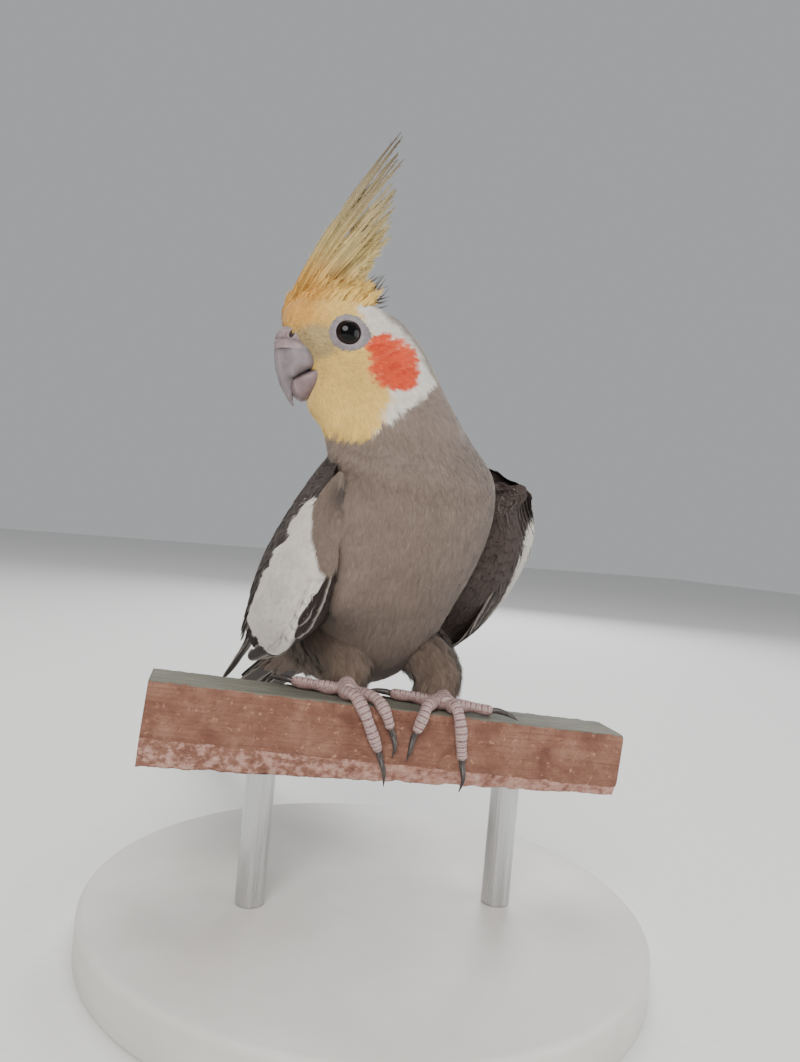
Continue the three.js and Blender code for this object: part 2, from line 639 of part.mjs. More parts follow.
// A round tapering limb through points
function limb(points, radii, sides = 8, steps = 8) {
  const rings = [];
  for (let k = 0; k <= steps; k += 1) {
    const place = (k / steps) * (points.length - 1);
    const list = points.map((p) => [p.x, p.y, p.z]);
    const here = splinePoint(list, place);
    const ahead = splinePoint(list, Math.min(place + 0.05, points.length - 1));
    const behind = splinePoint(list, Math.max(place - 0.05, 0));
    const along = ahead.sub(behind).normalize();
    const steep = Math.abs(along.z) > 0.9;
    const sideAxis = new THREE.Vector3().crossVectors(along, steep ? vec(1, 0, 0) : up).normalize();
    const other = new THREE.Vector3().crossVectors(sideAxis, along);
    const radius = spline(radii, (k / steps) * (radii.length - 1));
    rings.push(ring(here, sideAxis, other, [radius, radius, radius, radius], sides));
  }
  return solid(loft(rings));
}

const rest = TOE_RADIUS + GAP;
const front = -PERCH_DEPTH / 2 - rest;
const rear = PERCH_DEPTH / 2 + rest;

// Each toe's path over the perch, from the foot outwards, then the claw's path
const TOES = {
  right: {
    inner_front: [[[-10.5, -3, rest], [-7, -7.6, rest], [-4.6, front, -0.6], [-2.2, front, -5.2]],
      [[-1.4, front, -6.6], [-0.6, front - 1.2, -9.6], [-0.6, front + 0.4, -13]]],
    outer_front: [[[-15, -3.4, rest], [-12.6, -8, rest], [-10, front, -1.6], [-6.6, front, -7.6],
      [-4.4, front, -11.6]],
      [[-3.9, front, -13], [-2.6, front - 1.4, -16.4], [-1.6, front + 0.6, -20.6]]],
    outer_rear: [[[-17.4, 0.2, rest], [-23, 2, rest], [-29, 4, rest]],
      [[-30.4, 4.6, rest + 0.3], [-33.4, 6.8, rest], [-35.4, 8.6, 0.7]]],
    inner_rear: [[[-11.6, 3.4, rest], [-9.6, 7.4, rest], [-8.4, rear, -1.4]],
      [[-8.2, rear, -3], [-7.8, rear + 0.6, -6], [-7.6, rear - 0.8, -9.4]]],
  },
  left: {
    inner_front: [[[10, -4.6, rest], [7.6, -8.2, rest], [6, front, -1.2], [4.6, front, -5.6]],
      [[4.2, front, -7], [3.6, front - 1.2, -10], [3.4, front + 0.4, -13.2]]],
    outer_front: [[[14.5, -5, rest], [15.6, -8.6, rest], [16.8, front, -2.2], [18, front, -8],
      [18.8, front, -11.4]],
      [[19, front, -12.8], [19.4, front - 1.4, -16.2], [19.4, front + 0.6, -20.2]]],
    outer_rear: [[[17, -2.2, rest], [21.6, -3.4, rest], [27.4, -5, rest]],
      [[28.8, -5.4, rest + 0.3], [31.6, -7.6, rest - 0.1], [33.6, -9, 0.7]]],
    inner_rear: [[[9.8, 0.2, rest], [5, 1.8, rest], [-1, 3, rest]],
      [[-2.4, 3.2, rest + 0.3], [-5.4, 4.4, rest], [-7.6, 5.4, 0.8]]],
  },
};

addNode('torso', geometryOf(torso), COLOURS.grey, 0.9);
addNode('neck', geometryOf(neck), COLOURS.grey, 0.9);
addNode('head', geometryOf(head), COLOURS.face, 0.9);
addNode('crest', geometryOf(crest), COLOURS.yellow, 0.9);
addNode('cere', geometryOf(nostrilCere), COLOURS.cere, 0.6);
const cereGrown = billSolid(CERE, GAP);
const lowerCut = billLower.subtract(billSolid(BILL_UPPER, GAP)).subtract(cereGrown);
addNode('bill_upper', geometryOf(billUpper.subtract(cereGrown)), COLOURS.horn, 0.45);
addNode('bill_lower', geometryOf(lowerCut), COLOURS.horn, 0.45);
for (const [name, side] of SIDES) {
  const at = headPoint(0, side * EYE_SIDE, EYE_UP);
  addNode(`eye_${name}`, geometryOf(ball(at, EYE_RADIUS)), COLOURS.eye, 0.1);
}
for (const [name, edges] of Object.entries(WINGS)) {
  addNode(`wing_${name}`, geometryOf(wingSolid(edges).subtract(bodyGrown)), COLOURS.flight, 0.85);
}
addNode('tail', geometryOf(tail), COLOURS.flight, 0.85);

for (const [k, name] of ['right', 'left'].entries()) {
  const [along, back] = FOOT_AT[k];
  const palmAt = perchPoint([along, back - 1, PALM_RADIUS]);
  const ankle = perchPoint([along * 0.95, back + ANKLE[0], ANKLE[1]]);
  const knee = vec(along, KNEE[0], PERCH_TOP + KNEE[1]);
  const thighPath = [knee, ankle.clone().lerp(knee, 0.5), ankle];
  const shankPath = [ankle, palmAt.clone().lerp(ankle, 0.5), palmAt];
  const thigh = (grow) => limb(thighPath, THIGH_RADII.map((r) => r + grow), 12, 5);
  const shank = (grow) => limb(shankPath, SHANK_RADII.map((r) => r + grow), 10, 3);
  const foot = (grow) => shank(grow).add(ball(palmAt, PALM_RADIUS + grow, 12));
  const perchGrown = perchSolid(GAP);
  const cutThigh = thigh(0).subtract(bodyGrown).subtract(perchGrown);
  addNode(`thigh_${name}`, geometryOf(cutThigh), COLOURS.grey, 0.9);
  addNode(`foot_${name}`, geometryOf(foot(0).subtract(thigh(GAP)).subtract(bodyGrown).subtract(perchGrown)),
    COLOURS.skin, 0.7);
  const blocked = [foot(GAP), thigh(GAP), bodyGrown, perchGrown];
  for (const [toe, [path, clawPath]] of Object.entries(TOES[name])) {
    const toeRadii = (grow) => TOE_TAPER.map((taper) => TOE_RADIUS * taper + grow);
    const toeSolid = (grow) => limb(path.map(perchPoint), toeRadii(grow), 8, path.length * 2);
    const clawSolid = (grow) => limb(clawPath.map(perchPoint), CLAW_RADII.map((r) => r + grow), 6, 5);
    const cutToe = blocked.reduce((piece, block) => piece.subtract(block), toeSolid(0));
    blocked.push(toeSolid(GAP));
    const cutClaw = blocked.reduce((piece, block) => piece.subtract(block), clawSolid(0));
    addNode(`toe_${name}_${toe}`, geometryOf(cutToe), COLOURS.skin, 0.7);
    addNode(`claw_${name}_${toe}`, geometryOf(cutClaw), COLOURS.claw, 0.4);
    blocked.push(clawSolid(GAP));
  }
}

addNode('perch', geometryOf(perchSolid()), COLOURS.wood, 0.9);

const baseProfile = [
  [0, 0], [BASE_RADIUS, 0], [BASE_RADIUS, BASE_THICKNESS - BASE_BEVEL],
  [BASE_RADIUS - BASE_BEVEL, BASE_THICKNESS], [0, BASE_THICKNESS],
].map(([x, y]) => new THREE.Vector2(x, y));
const baseGeometry = new THREE.LatheGeometry(baseProfile, 48);
baseGeometry.rotateX(Math.PI / 2);
addNode('stand_base', geometryOf(solid(baseGeometry)), COLOURS.base, 0.6);
for (const [name, side] of SIDES) {
  const at = perchPoint([side * ROD_SPACING / 2, 0, 0]);
  const length = PERCH_TOP - BASE_THICKNESS - GAP;
  const rod = new THREE.CylinderGeometry(ROD_RADIUS, ROD_RADIUS, length, 24);
  rod.rotateX(Math.PI / 2);
  rod.translate(at.x, at.y, BASE_THICKNESS + GAP + length / 2);
  addNode(`stand_rod_${name}`, geometryOf(solid(rod).subtract(perchSolid(GAP))), COLOURS.metal, 0.35, 1);
}

export default group;
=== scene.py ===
"""A life-size cockatiel gripping a short length of painted timber on a plain display stand.

Lengths are in millimetres until a mesh is made. +Z is up and the bird's body faces -Y.
"""

import math

import bpy
import numpy as np
from mathutils import Matrix, Vector
from mathutils.bvhtree import BVHTree


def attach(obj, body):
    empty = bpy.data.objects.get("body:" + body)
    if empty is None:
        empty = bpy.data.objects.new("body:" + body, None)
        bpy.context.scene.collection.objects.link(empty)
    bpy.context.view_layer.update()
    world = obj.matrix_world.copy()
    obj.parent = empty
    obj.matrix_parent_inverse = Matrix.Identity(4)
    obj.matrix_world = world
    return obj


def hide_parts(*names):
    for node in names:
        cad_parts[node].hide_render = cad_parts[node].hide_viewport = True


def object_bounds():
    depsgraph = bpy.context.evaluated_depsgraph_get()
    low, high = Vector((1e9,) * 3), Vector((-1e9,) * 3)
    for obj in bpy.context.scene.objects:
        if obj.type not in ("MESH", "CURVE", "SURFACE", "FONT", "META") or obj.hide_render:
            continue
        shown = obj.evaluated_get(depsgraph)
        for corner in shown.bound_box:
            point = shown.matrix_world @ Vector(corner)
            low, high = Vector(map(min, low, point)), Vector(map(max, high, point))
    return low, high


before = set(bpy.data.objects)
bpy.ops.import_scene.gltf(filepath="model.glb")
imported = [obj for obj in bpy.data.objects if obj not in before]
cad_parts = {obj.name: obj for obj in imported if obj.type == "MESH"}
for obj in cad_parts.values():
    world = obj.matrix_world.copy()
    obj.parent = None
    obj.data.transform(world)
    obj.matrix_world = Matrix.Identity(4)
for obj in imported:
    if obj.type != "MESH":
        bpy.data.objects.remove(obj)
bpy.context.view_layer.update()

MM = 0.001
SEED = 11
X_AXIS, Y_AXIS, UP = np.eye(3)
PERCH_TOP = 68.0
PERCH_LIFT = UP * PERCH_TOP


# Camera, light and floor

# The view of the photo, and its height and focal length in its own units
CAMERA_AZIMUTH = -26.0
CAMERA_DISTANCE = 240.0
CAMERA_HEIGHT = PERCH_TOP + 47.8
CAMERA_ROLL = 5.2
SENSOR = 36.0
PHOTO_HEIGHT = 1062.0
FOCAL_PIXELS = 840.0


def make_camera():
    """The photo's view: level, a little to the bird's right and rolled."""
    azimuth, roll = math.radians(CAMERA_AZIMUTH), math.radians(CAMERA_ROLL)
    forward = Vector((-math.sin(azimuth), math.cos(azimuth), 0))
    level = Vector((math.cos(azimuth), math.sin(azimuth), 0))
    upright = Vector((0, 0, 1))
    right = level * math.cos(roll) + upright * math.sin(roll)
    top = upright * math.cos(roll) - level * math.sin(roll)
    place = -forward * CAMERA_DISTANCE * MM + upright * CAMERA_HEIGHT * MM
    matrix = Matrix((right, top, -forward)).transposed().to_4x4()
    matrix.translation = place
    data = bpy.data.cameras.new("camera")
    data.lens = SENSOR * FOCAL_PIXELS / PHOTO_HEIGHT
    data.sensor_width = SENSOR
    data.clip_start = 0.01
    data.clip_end = 20.0
    camera = bpy.data.objects.new("camera", data)
    camera.matrix_world = matrix
    bpy.context.scene.collection.objects.link(camera)
    bpy.context.scene.camera = camera


# Each light's place, size, power and colour, in metres and watts
LIGHTS = {
    "key": ((-0.55, -0.85, 0.75), 0.7, 13.0, (1.0, 0.98, 0.95)),
    "fill": ((0.9, -0.7, 0.3), 0.9, 7.0, (0.95, 0.98, 1.0)),
    "top": ((0.1, 0.3, 1.1), 0.8, 8.0, (1.0, 1.0, 1.0)),
    "rim": ((0.6, 0.9, 0.5), 0.5, 5.0, (0.95, 0.97, 1.0)),
}
LIGHT_TARGET = Vector((0, 0, 0.12))
STUDIO_COLOUR = (0.80, 0.82, 0.84, 1)
STUDIO_STRENGTH = 0.5


def make_lights():
    """Soft round area lights in an evenly lit studio."""
    for name, (place, size, power, colour) in LIGHTS.items():
        data = bpy.data.lights.new(name, "AREA")
        data.shape, data.size, data.energy, data.color = "DISK", size, power, colour
        light = bpy.data.objects.new(name, data)
        light.location = place
        light.rotation_mode = "QUATERNION"
        light.rotation_quaternion = (LIGHT_TARGET - Vector(place)).to_track_quat("-Z", "Y")
        bpy.context.scene.collection.objects.link(light)
    world = bpy.data.worlds.new("studio")
    world.use_nodes = True
    background = world.node_tree.nodes["Background"]
    background.inputs["Color"].default_value = STUDIO_COLOUR
    background.inputs["Strength"].default_value = STUDIO_STRENGTH
    bpy.context.scene.world = world


make_camera()
make_lights()


# The body in slices from the tail root to the shoulders: place, pitch of the slice and reach

BODY_X = [0, 0, 0, 0, 0, 0, -0.8, -3.2]
BODY_Y = [71, 58, 43, 27, 12, 0, -7, -8.5]
BODY_H = [8, 15, 22.5, 32, 42, 52, 63, 70]
BODY_PITCH = [28, 32, 38, 42, 46, 50, 60, 70]
BODY_HALF_WIDTH = [9, 14, 20.5, 25, 26.5, 26.5, 26, 25]
BODY_BACK = [6.5, 11, 16, 20, 23.5, 24, 22, 18]
BODY_BELLY = [6.5, 19, 31, 36.5, 31, 26.5, 23.5, 20]
BODY_RINGS = 14

# The head in level slices: height, and reach to the bill, the nape, the side that is seen and the far side
HEAD_TURN = 101
HEAD_AT = np.array([-22.9, 1.0, PERCH_TOP + 99.4])
HEAD_UP = [-24, -19, -14, -9, -4, 0, 4, 7.5, 9.8]
HEAD_FRONT = [5.4, 9, 8.4, 9.6, 13.8, 16.4, 16.8, 15, 11.8]
HEAD_REAR = [40.5, 36.4, 32.8, 29.6, 26.4, 23.6, 20, 15, 8.6]
HEAD_NEAR = [21, 17.6, 14.6, 13, 12.5, 11.6, 10.4, 8.4, 5.4]
HEAD_FAR = [12, 12.6, 12.8, 12.8, 12.4, 11.6, 10.4, 8.4, 5.4]
HEAD_TILT = [18, 8, 2, 0, 0, 0, 0, 0, 0]
HEAD_RINGS = 13

turn = math.radians(HEAD_TURN)
HEAD_FORWARD = np.array([-math.sin(turn), -math.cos(turn), 0.0])
HEAD_LEFT = np.array([-HEAD_FORWARD[1], HEAD_FORWARD[0], 0.0])


# Helpers

def spline(values, place):
    """Smooth values at fractional places in a list of numbers or points."""
    values = np.asarray(values, float)
    place = np.asarray(place, float)
    last = len(values) - 1
    i = np.clip(np.floor(place).astype(int), 0, last - 1)
    t = place - i
    a, b = values[i], values[i + 1]
    before, after = values[np.maximum(i - 1, 0)], values[np.minimum(i + 2, last)]
    if values.ndim > 1:
        shape = t.shape + (1,) * (values.ndim - 1)
        t, i = t.reshape(shape), i.reshape(shape)
    slope_a = np.where(i > 0, (b - before) / 2, b - a)
    slope_b = np.where(i < last - 1, (after - a) / 2, b - a)
    t2, t3 = t * t, t * t * t
    return ((2 * t3 - 3 * t2 + 1) * a + (t3 - 2 * t2 + t) * slope_a
            + (3 * t2 - 2 * t3) * b + (t3 - t2) * slope_b)


def unit(v):
    """Vectors of length 1."""
    return v / np.maximum(np.linalg.norm(v, axis=-1, keepdims=True), 1e-9)


def smooth_step(low, high, x):
    """A soft step from 0 at one limit to 1 at the other, which may be the lower one."""
    t = np.clip((x - low) / (high - low), 0, 1)
    return t * t * (3 - 2 * t)


def dot(a, b):
    """Products of vectors."""
    return np.sum(a * b, axis=-1)


def srgb(r, g, b):
    """Linear colour from an 8-bit sRGB one."""
    c = np.array([r, g, b], float) / 255
    return np.where(c <= 0.04045, c / 12.92, ((c + 0.055) / 1.055) ** 2.4)


def blend(a, b, t):
    """Colours between two, one for each fraction."""
    t = np.asarray(t)[..., None]
    return a * (1 - t) + b * t


def even(colour, points):
    """One colour at every point."""
    return np.broadcast_to(colour, points.shape)


NOISE_WAVES = 9


def wave_noise(p, scale, seed):
    """Smooth repeatable noise from -1 to 1 at points, from summed plane waves."""
    draw = np.random.default_rng(seed)
    total = np.zeros(p.shape[:-1])
    for _ in range(NOISE_WAVES):
        k = unit(draw.normal(size=3)) * draw.uniform(0.6, 1.7) * 2 * math.pi / scale
        total += np.sin(p @ k + draw.uniform(0, 6.283))
    return total / NOISE_WAVES * 1.6


def head_point(forward, left, rise):
    """Places given from the middle of the head: towards the bill, to its left and up."""
    forward, left, rise = (np.asarray(v, float)[..., None] for v in (forward, left, rise))
    return HEAD_AT + HEAD_FORWARD * forward + HEAD_LEFT * left + UP * rise


def head_coords(p):
    """The opposite of head_point."""
    d = p - HEAD_AT
    return d @ HEAD_FORWARD, d @ HEAD_LEFT, d[..., 2]


def listed(faces):
    """Faces as plain lists."""
    return faces if isinstance(faces, list) else np.asarray(faces).tolist()


def add_mesh(name, points, faces, material, uv=None, vectors=None, slot=None, vane_uv=None, replaces=()):
    """A smooth mesh piece from millimetre points that rides on the part's one body."""
    mesh = bpy.data.meshes.new(name)
    mesh.from_pydata((np.asarray(points) * MM).tolist(), [], listed(faces))
    corner = np.empty(len(mesh.loops), dtype=np.int32)
    mesh.loops.foreach_get("vertex_index", corner)
    for uv_name, values in (("OFBake", uv), ("Vane", vane_uv)):
        if values is not None:
            layer = mesh.uv_layers.new(name=uv_name)
            layer.data.foreach_set("uv", np.asarray(values, dtype=np.float32)[corner].ravel())
    for key, values in (vectors or {}).items():
        attribute = mesh.attributes.new(key, "FLOAT_VECTOR", "POINT")
        attribute.data.foreach_set("vector", np.asarray(values, dtype=np.float32).ravel())
    mesh.polygons.foreach_set("use_smooth", np.ones(len(mesh.polygons), dtype=bool))
    mesh.materials.append(material)
    mesh.update()
    piece = bpy.data.objects.new(name, mesh)
    bpy.context.scene.collection.objects.link(piece)
    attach(piece, "root")
    if replaces:
        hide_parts(*replaces)
    return piece


def grid_faces(rows, columns, wrap=True):
    """Quads over a grid of points, joined round its columns where it wraps."""
    r = np.arange(rows - 1)[:, None]
    c = np.arange(columns if wrap else columns - 1)[None, :]
    after = (c + 1) % columns
    a = r * columns + c
    b = r * columns + after
    quads = np.stack([a, b, b + columns, a + columns], axis=-1)
    return quads.reshape(-1, 4)


def surface_tree(points, faces):
    """A surface to cast rays at and to measure from."""
    return BVHTree.FromPolygons(np.asarray(points).reshape(-1, 3).tolist(), listed(faces))


def sheet_tree(points):
    """The same from a grid of points."""
    return surface_tree(points, grid_faces(*points.shape[:2], wrap=False))


def ring(centre, side, front, reach, sides, power=1.0):
    """Rings of points with their own reach to the left, right, front and back."""
    angle = np.arange(sides) * 2 * math.pi / sides
    c, s = np.cos(angle), np.sin(angle)
    c = np.sign(c) * np.abs(c) ** power
    s = np.sign(s) * np.abs(s) ** power
    left, right, fore, back = (np.asarray(v, float)[..., None] for v in reach)
    x = np.where(c > 0, c * left, c * right)
    y = np.where(s > 0, s * fore, s * back)
    return centre[..., None, :] + side[..., None, :] * x[..., None] + front[..., None, :] * y[..., None]


def loft(rings):
    """Points and faces through rings, with a fan over each end."""
    rings = np.asarray(rings)
    rows, sides = rings.shape[:2]
    faces = grid_faces(rows, sides).tolist()
    top = (rows - 1) * sides
    for k in range(sides):
        after = (k + 1) % sides
        faces.append([after, k, rows * sides])
        faces.append([top + k, top + after, rows * sides + 1])
    return np.vstack([rings.reshape(-1, 3), rings[0].mean(0), rings[-1].mean(0)]), faces


def joined(parts):
    """One set of points and faces from several."""
    points, faces, start = [], [], 0
    for p, f in parts:
        points.append(np.asarray(p))
        faces += [[i + start for i in face] for face in listed(f)]
        start += len(p)
    return np.vstack(points), faces


# Materials

class Shader:
    """A small builder of node materials."""

    def __init__(self, name, roughness=0.8, specular=0.3, **sockets):
        self.material = bpy.data.materials.new(name)
        self.material.use_nodes = True
        self.nodes = self.material.node_tree.nodes
        self.links = self.material.node_tree.links
        self.surface = self.nodes["Principled BSDF"]
        for key, value in {"Roughness": roughness, "Specular IOR Level": specular, **sockets}.items():
            self.surface.inputs[key.replace("_", " ")].default_value = value

    def add(self, kind, settings=None, **inputs):
        node = self.nodes.new(kind)
        for key, value in (settings or {}).items():
            setattr(node, key, value)
        for key, value in inputs.items():
            self.set(node, key.replace("_", " "), value)
        return node

    def set(self, node, key, value):
        """Links a socket, or gives it a value. Digits in the key are its number."""
        socket = node.inputs[int(key)] if key.isdigit() else node.inputs[key]
        if isinstance(value, bpy.types.NodeSocket):
            self.links.new(value, socket)
        elif isinstance(value, (tuple, list, np.ndarray)) and socket.type == "RGBA":
            socket.default_value = (*value[:3], 1.0)
        else:
            socket.default_value = value

    def coords(self, stretch=(1, 1, 1)):
        """Object coordinates in millimetres, stretched."""
        source = self.add("ShaderNodeTexCoord")
        mapping = self.add("ShaderNodeMapping", Vector=source.outputs["Object"])
        mapping.inputs["Scale"].default_value = tuple(1000 * s for s in stretch)
        return mapping.outputs["Vector"]

    def noise(self, scale, detail=3.0, roughness=0.5, distortion=0.0, vector=None):
        """Soft clouds from 0 to 1."""
        vector = self.coords() if vector is None else vector
        return self.add("ShaderNodeTexNoise", Vector=vector, Scale=scale, Detail=detail,
                        Roughness=roughness, Distortion=distortion).outputs["Fac"]

    def cells(self, scale):
        """The distance from the middles of small cells."""
        return self.add("ShaderNodeTexVoronoi", Vector=self.coords(), Scale=scale).outputs["Distance"]

    def ramp(self, value, *stops):
        """Colours, or greys given as one number, at stops along a value."""
        node = self.add("ShaderNodeValToRGB", Fac=value)
        ramp = node.color_ramp
        while len(ramp.elements) < len(stops):
            ramp.elements.new(0.5)
        for element, (place, colour) in zip(ramp.elements, stops):
            element.position = place
            element.color = (*(colour if np.ndim(colour) else [colour] * 3), 1)
        return node.outputs["Color"]

    def math(self, operation, a, b=0.0):
        node = self.add("ShaderNodeMath", {"operation": operation})
        self.set(node, "0", a)
        self.set(node, "1", b)
        return node.outputs[0]

    def plus(self, a, b):
        return self.math("ADD", a, b)

    def times(self, a, b):
        return self.math("MULTIPLY", a, b)

    def centred(self, value, size):
        """A noise moved to lie about 0 and scaled."""
        return self.times(self.math("SUBTRACT", value, 0.5), size)

    def mix(self, factor, a, b, kind="MIX"):
        node = self.add("ShaderNodeMix", {"data_type": "RGBA", "blend_type": kind})
        self.set(node, "0", factor)
        self.set(node, "6", a)
        self.set(node, "7", b)
        return node.outputs[2]

    def shaded(self, colour, shade):
        """The two multiplied."""
        return self.mix(1.0, colour, shade, "MULTIPLY")

    def bump(self, height, strength=0.5, distance=0.2):
        node = self.add("ShaderNodeBump", Height=height, Strength=strength, Distance=distance * MM)
        return node.outputs["Normal"]

    def attribute(self, name):
        return self.add("ShaderNodeAttribute", {"attribute_name": name}).outputs["Vector"]

    def split(self, vector):
        return self.add("ShaderNodeSeparateXYZ", Vector=vector).outputs

    def finish(self, colour, normal=None, roughness=None):
        """The material, with what is given put into its surface."""
        for key, value in (("Base Color", colour), ("Normal", normal), ("Roughness", roughness)):
            if value is not None:
                self.set(self.surface, key, value)
        return self.material


def coat_material(name, streak=5.0, sheen=0.25):
    """Soft small feathers: the marking's colour with a fine uneven tone."""
    s = Shader(name, 0.85, 0.12, Sheen_Weight=sheen, Sheen_Roughness=0.5)
    fine, broad = s.noise(streak, 2.0), s.noise(0.16, 2.0)
    tint = s.shaded(s.attribute("tint"), s.ramp(fine, (0.25, 0.82), (0.75, 1.12)))
    tint = s.shaded(tint, s.ramp(broad, (0.3, 0.92), (0.7, 1.06)))
    return s.finish(tint, s.bump(fine, 0.3, 0.1))


def vane_material(name, barbs=2.6, roughness=0.75):
    """A feather's vane: the marking's colour, fine oblique barbs and a darker shaft."""
    s = Shader(name, roughness, 0.14, Sheen_Weight=0.02)
    vane = s.split(s.add("ShaderNodeUVMap", {"uv_map": "Vane"}).outputs["UV"])
    side = s.math("ABSOLUTE", vane["X"])
    slope = s.math("SUBTRACT", vane["Y"], s.times(side, 1.3))
    barb = s.math("SINE", s.plus(s.times(slope, barbs * 6.283), s.times(s.noise(0.8, 2.0), 5.0)))
    tone = s.ramp(s.plus(s.times(barb, 0.5), 0.5), (0.0, 0.84), (1.0, 1.1))
    patchy = s.ramp(s.noise(0.5), (0.3, 0.9), (0.7, 1.08))
    tint = s.shaded(s.shaded(s.attribute("tint"), tone), patchy)
    shaft = s.math("LESS_THAN", side, 0.16)
    tint = s.mix(s.times(shaft, 0.45), tint, s.shaded(tint, (0.45, 0.45, 0.45)))
    return s.finish(tint, s.bump(s.plus(barb, s.times(shaft, 3.0)), 0.35, 0.12))


def skin_material():
    """The skin and the cores beneath the feathers."""
    s = Shader("skin_under_feathers", 0.85, 0.1)
    mottled = s.noise(1.4, 4.0)
    tone = s.ramp(mottled, (0.3, 0.62), (0.7, 0.9))
    return s.finish(s.shaded(s.attribute("tint"), tone), s.bump(mottled, 0.5, 0.4))


def horn_material(name, tones):
    """Dull horn with broad clouds and fine flakes."""
    s = Shader(name, 0.42, 0.4, Subsurface_Weight=0.15, Subsurface_Scale=1.2 * MM,
               Subsurface_Radius=(1.0, 0.6, 0.5))
    broad = s.noise(0.22, 4.0, 0.6, 0.6, s.coords((1, 1, 0.5)))
    flakes = s.noise(1.1, 5.0, 0.65, 0.8, s.coords((1, 1, 2.2)))
    colour = s.ramp(broad, *[(place, srgb(*tone)) for place, tone in zip((0.28, 0.5, 0.74), tones)])
    colour = s.mix(s.times(flakes, 0.3), colour, srgb(*tones[2]))
    rough = s.ramp(flakes, (0.3, 0.34), (0.8, 0.6))
    # The tint attribute darkens the horn with painted shade along the mouth line and under the cere
    return s.finish(s.shaded(colour, s.attribute("tint")), s.bump(flakes, 0.35, 0.25), rough)


def cere_material():
    """Bare skin with fine cells."""
    s = Shader("cere_skin", 0.5, 0.4, Subsurface_Weight=0.2, Subsurface_Scale=1.0 * MM)
    colour = s.ramp(s.noise(0.4), (0.3, srgb(126, 108, 111)), (0.7, srgb(160, 141, 144)))
    # The tint attribute darkens the skin with painted shade in the nostrils and along the fold
    return s.finish(s.shaded(colour, s.attribute("tint")), s.bump(s.cells(1.6), 0.5, 0.25))


def lid_material():
    """Bare skin with small dark-edged cells."""
    s = Shader("eyelid_skin", 0.55, 0.3)
    grain = s.cells(2.6)
    colour = s.ramp(s.noise(0.6), (0.3, srgb(122, 114, 117)), (0.7, srgb(152, 145, 149)))
    colour = s.mix(s.ramp(grain, (0.2, 0.0), (0.9, 0.4)), colour, srgb(118, 108, 114))
    return s.finish(s.shaded(colour, s.attribute("tint")), s.bump(grain, 0.6, 0.2))


def eye_material():
    """A wet ball, black in the middle and dark brown round it."""
    s = Shader("eye", 0.03, 0.2)
    iris = s.ramp(s.noise(3.0), (0.3, srgb(20, 12, 9)), (0.7, srgb(36, 22, 15)))
    outside = s.math("GREATER_THAN", s.split(s.attribute("iris"))["X"], 0.5)
    return s.finish(s.mix(outside, (0.001, 0.001, 0.001), iris))


def foot_material():
    """Pinkish grey skin with fine pale granules, painted highlights on the scute edges and painted shade in the
    creases between.
    """
    s = Shader("foot_skin", 0.6, 0.3, Subsurface_Weight=0.12, Subsurface_Scale=0.8 * MM)
    cells = s.cells(1.9)
    tint = s.ramp(s.noise(0.3, 4.0), (0.3, srgb(132, 105, 101)), (0.7, srgb(162, 132, 127)))
    tint = s.mix(s.ramp(cells, (0.12, 0.6), (0.4, 0.0)), tint, srgb(190, 166, 164))
    tint = s.mix(s.ramp(cells, (0.5, 0.0), (0.8, 0.5)), tint, srgb(108, 78, 80))
    # From the scute attribute: painted highlights on the scutes' edges and painted shade in the creases between
    # them
    painted_light = s.split(s.attribute("scute"))
    patchy = s.ramp(s.noise(0.9), (0.35, 0.15), (0.6, 0.85))
    tint = s.mix(s.times(painted_light["Y"], 0.6), tint, srgb(204, 184, 180))
    tint = s.mix(s.times(painted_light["X"], patchy), tint, srgb(104, 70, 74))
    return s.finish(tint, s.bump(cells, 0.3, 0.12))


def claw_material():
    """Dark horn with streaks along the claw."""
    s = Shader("claw_horn", 0.35, 0.45)
    streaks = s.noise(0.9, 4.0, vector=s.coords((2, 2, 0.6)))
    colour = s.ramp(streaks, (0.3, srgb(40, 35, 34)), (0.75, srgb(88, 78, 74)))
    return s.finish(colour, s.bump(streaks, 0.3, 0.1))


def metal_material():
    """Brushed steel."""
    s = Shader("stand_metal", 0.3, Metallic=1.0)
    brushed = s.noise(1.5, vector=s.coords((3, 3, 0.05)))
    colour = s.ramp(brushed, (0.3, 0.50), (0.7, 0.62))
    return s.finish(colour, s.bump(brushed, 0.1, 0.05), s.ramp(brushed, (0.3, 0.24), (0.7, 0.36)))


def base_material():
    """An off-white painted finish."""
    s = Shader("stand_base_finish", 0.5, 0.35)
    colour = s.ramp(s.noise(0.05, 2.0), (0.3, srgb(206, 202, 196)), (0.7, srgb(214, 211, 206)))
    return s.finish(colour, s.bump(s.noise(2.2, 4.0), 0.15, 0.06))


def floor_material():
    """Pale paper."""
    s = Shader("floor_paper", 0.9, 0.1)
    fine = s.noise(0.4, 4.0)
    colour = s.ramp(fine, (0.3, srgb(226, 226, 222)), (0.7, srgb(230, 230, 227)))
    return s.finish(colour, s.bump(fine, 0.05, 0.1))


# A knot in the perch's chipped lower edge: along, back and up from the middle of its top
KNOT = (-19.0, -7.0, -17.5)


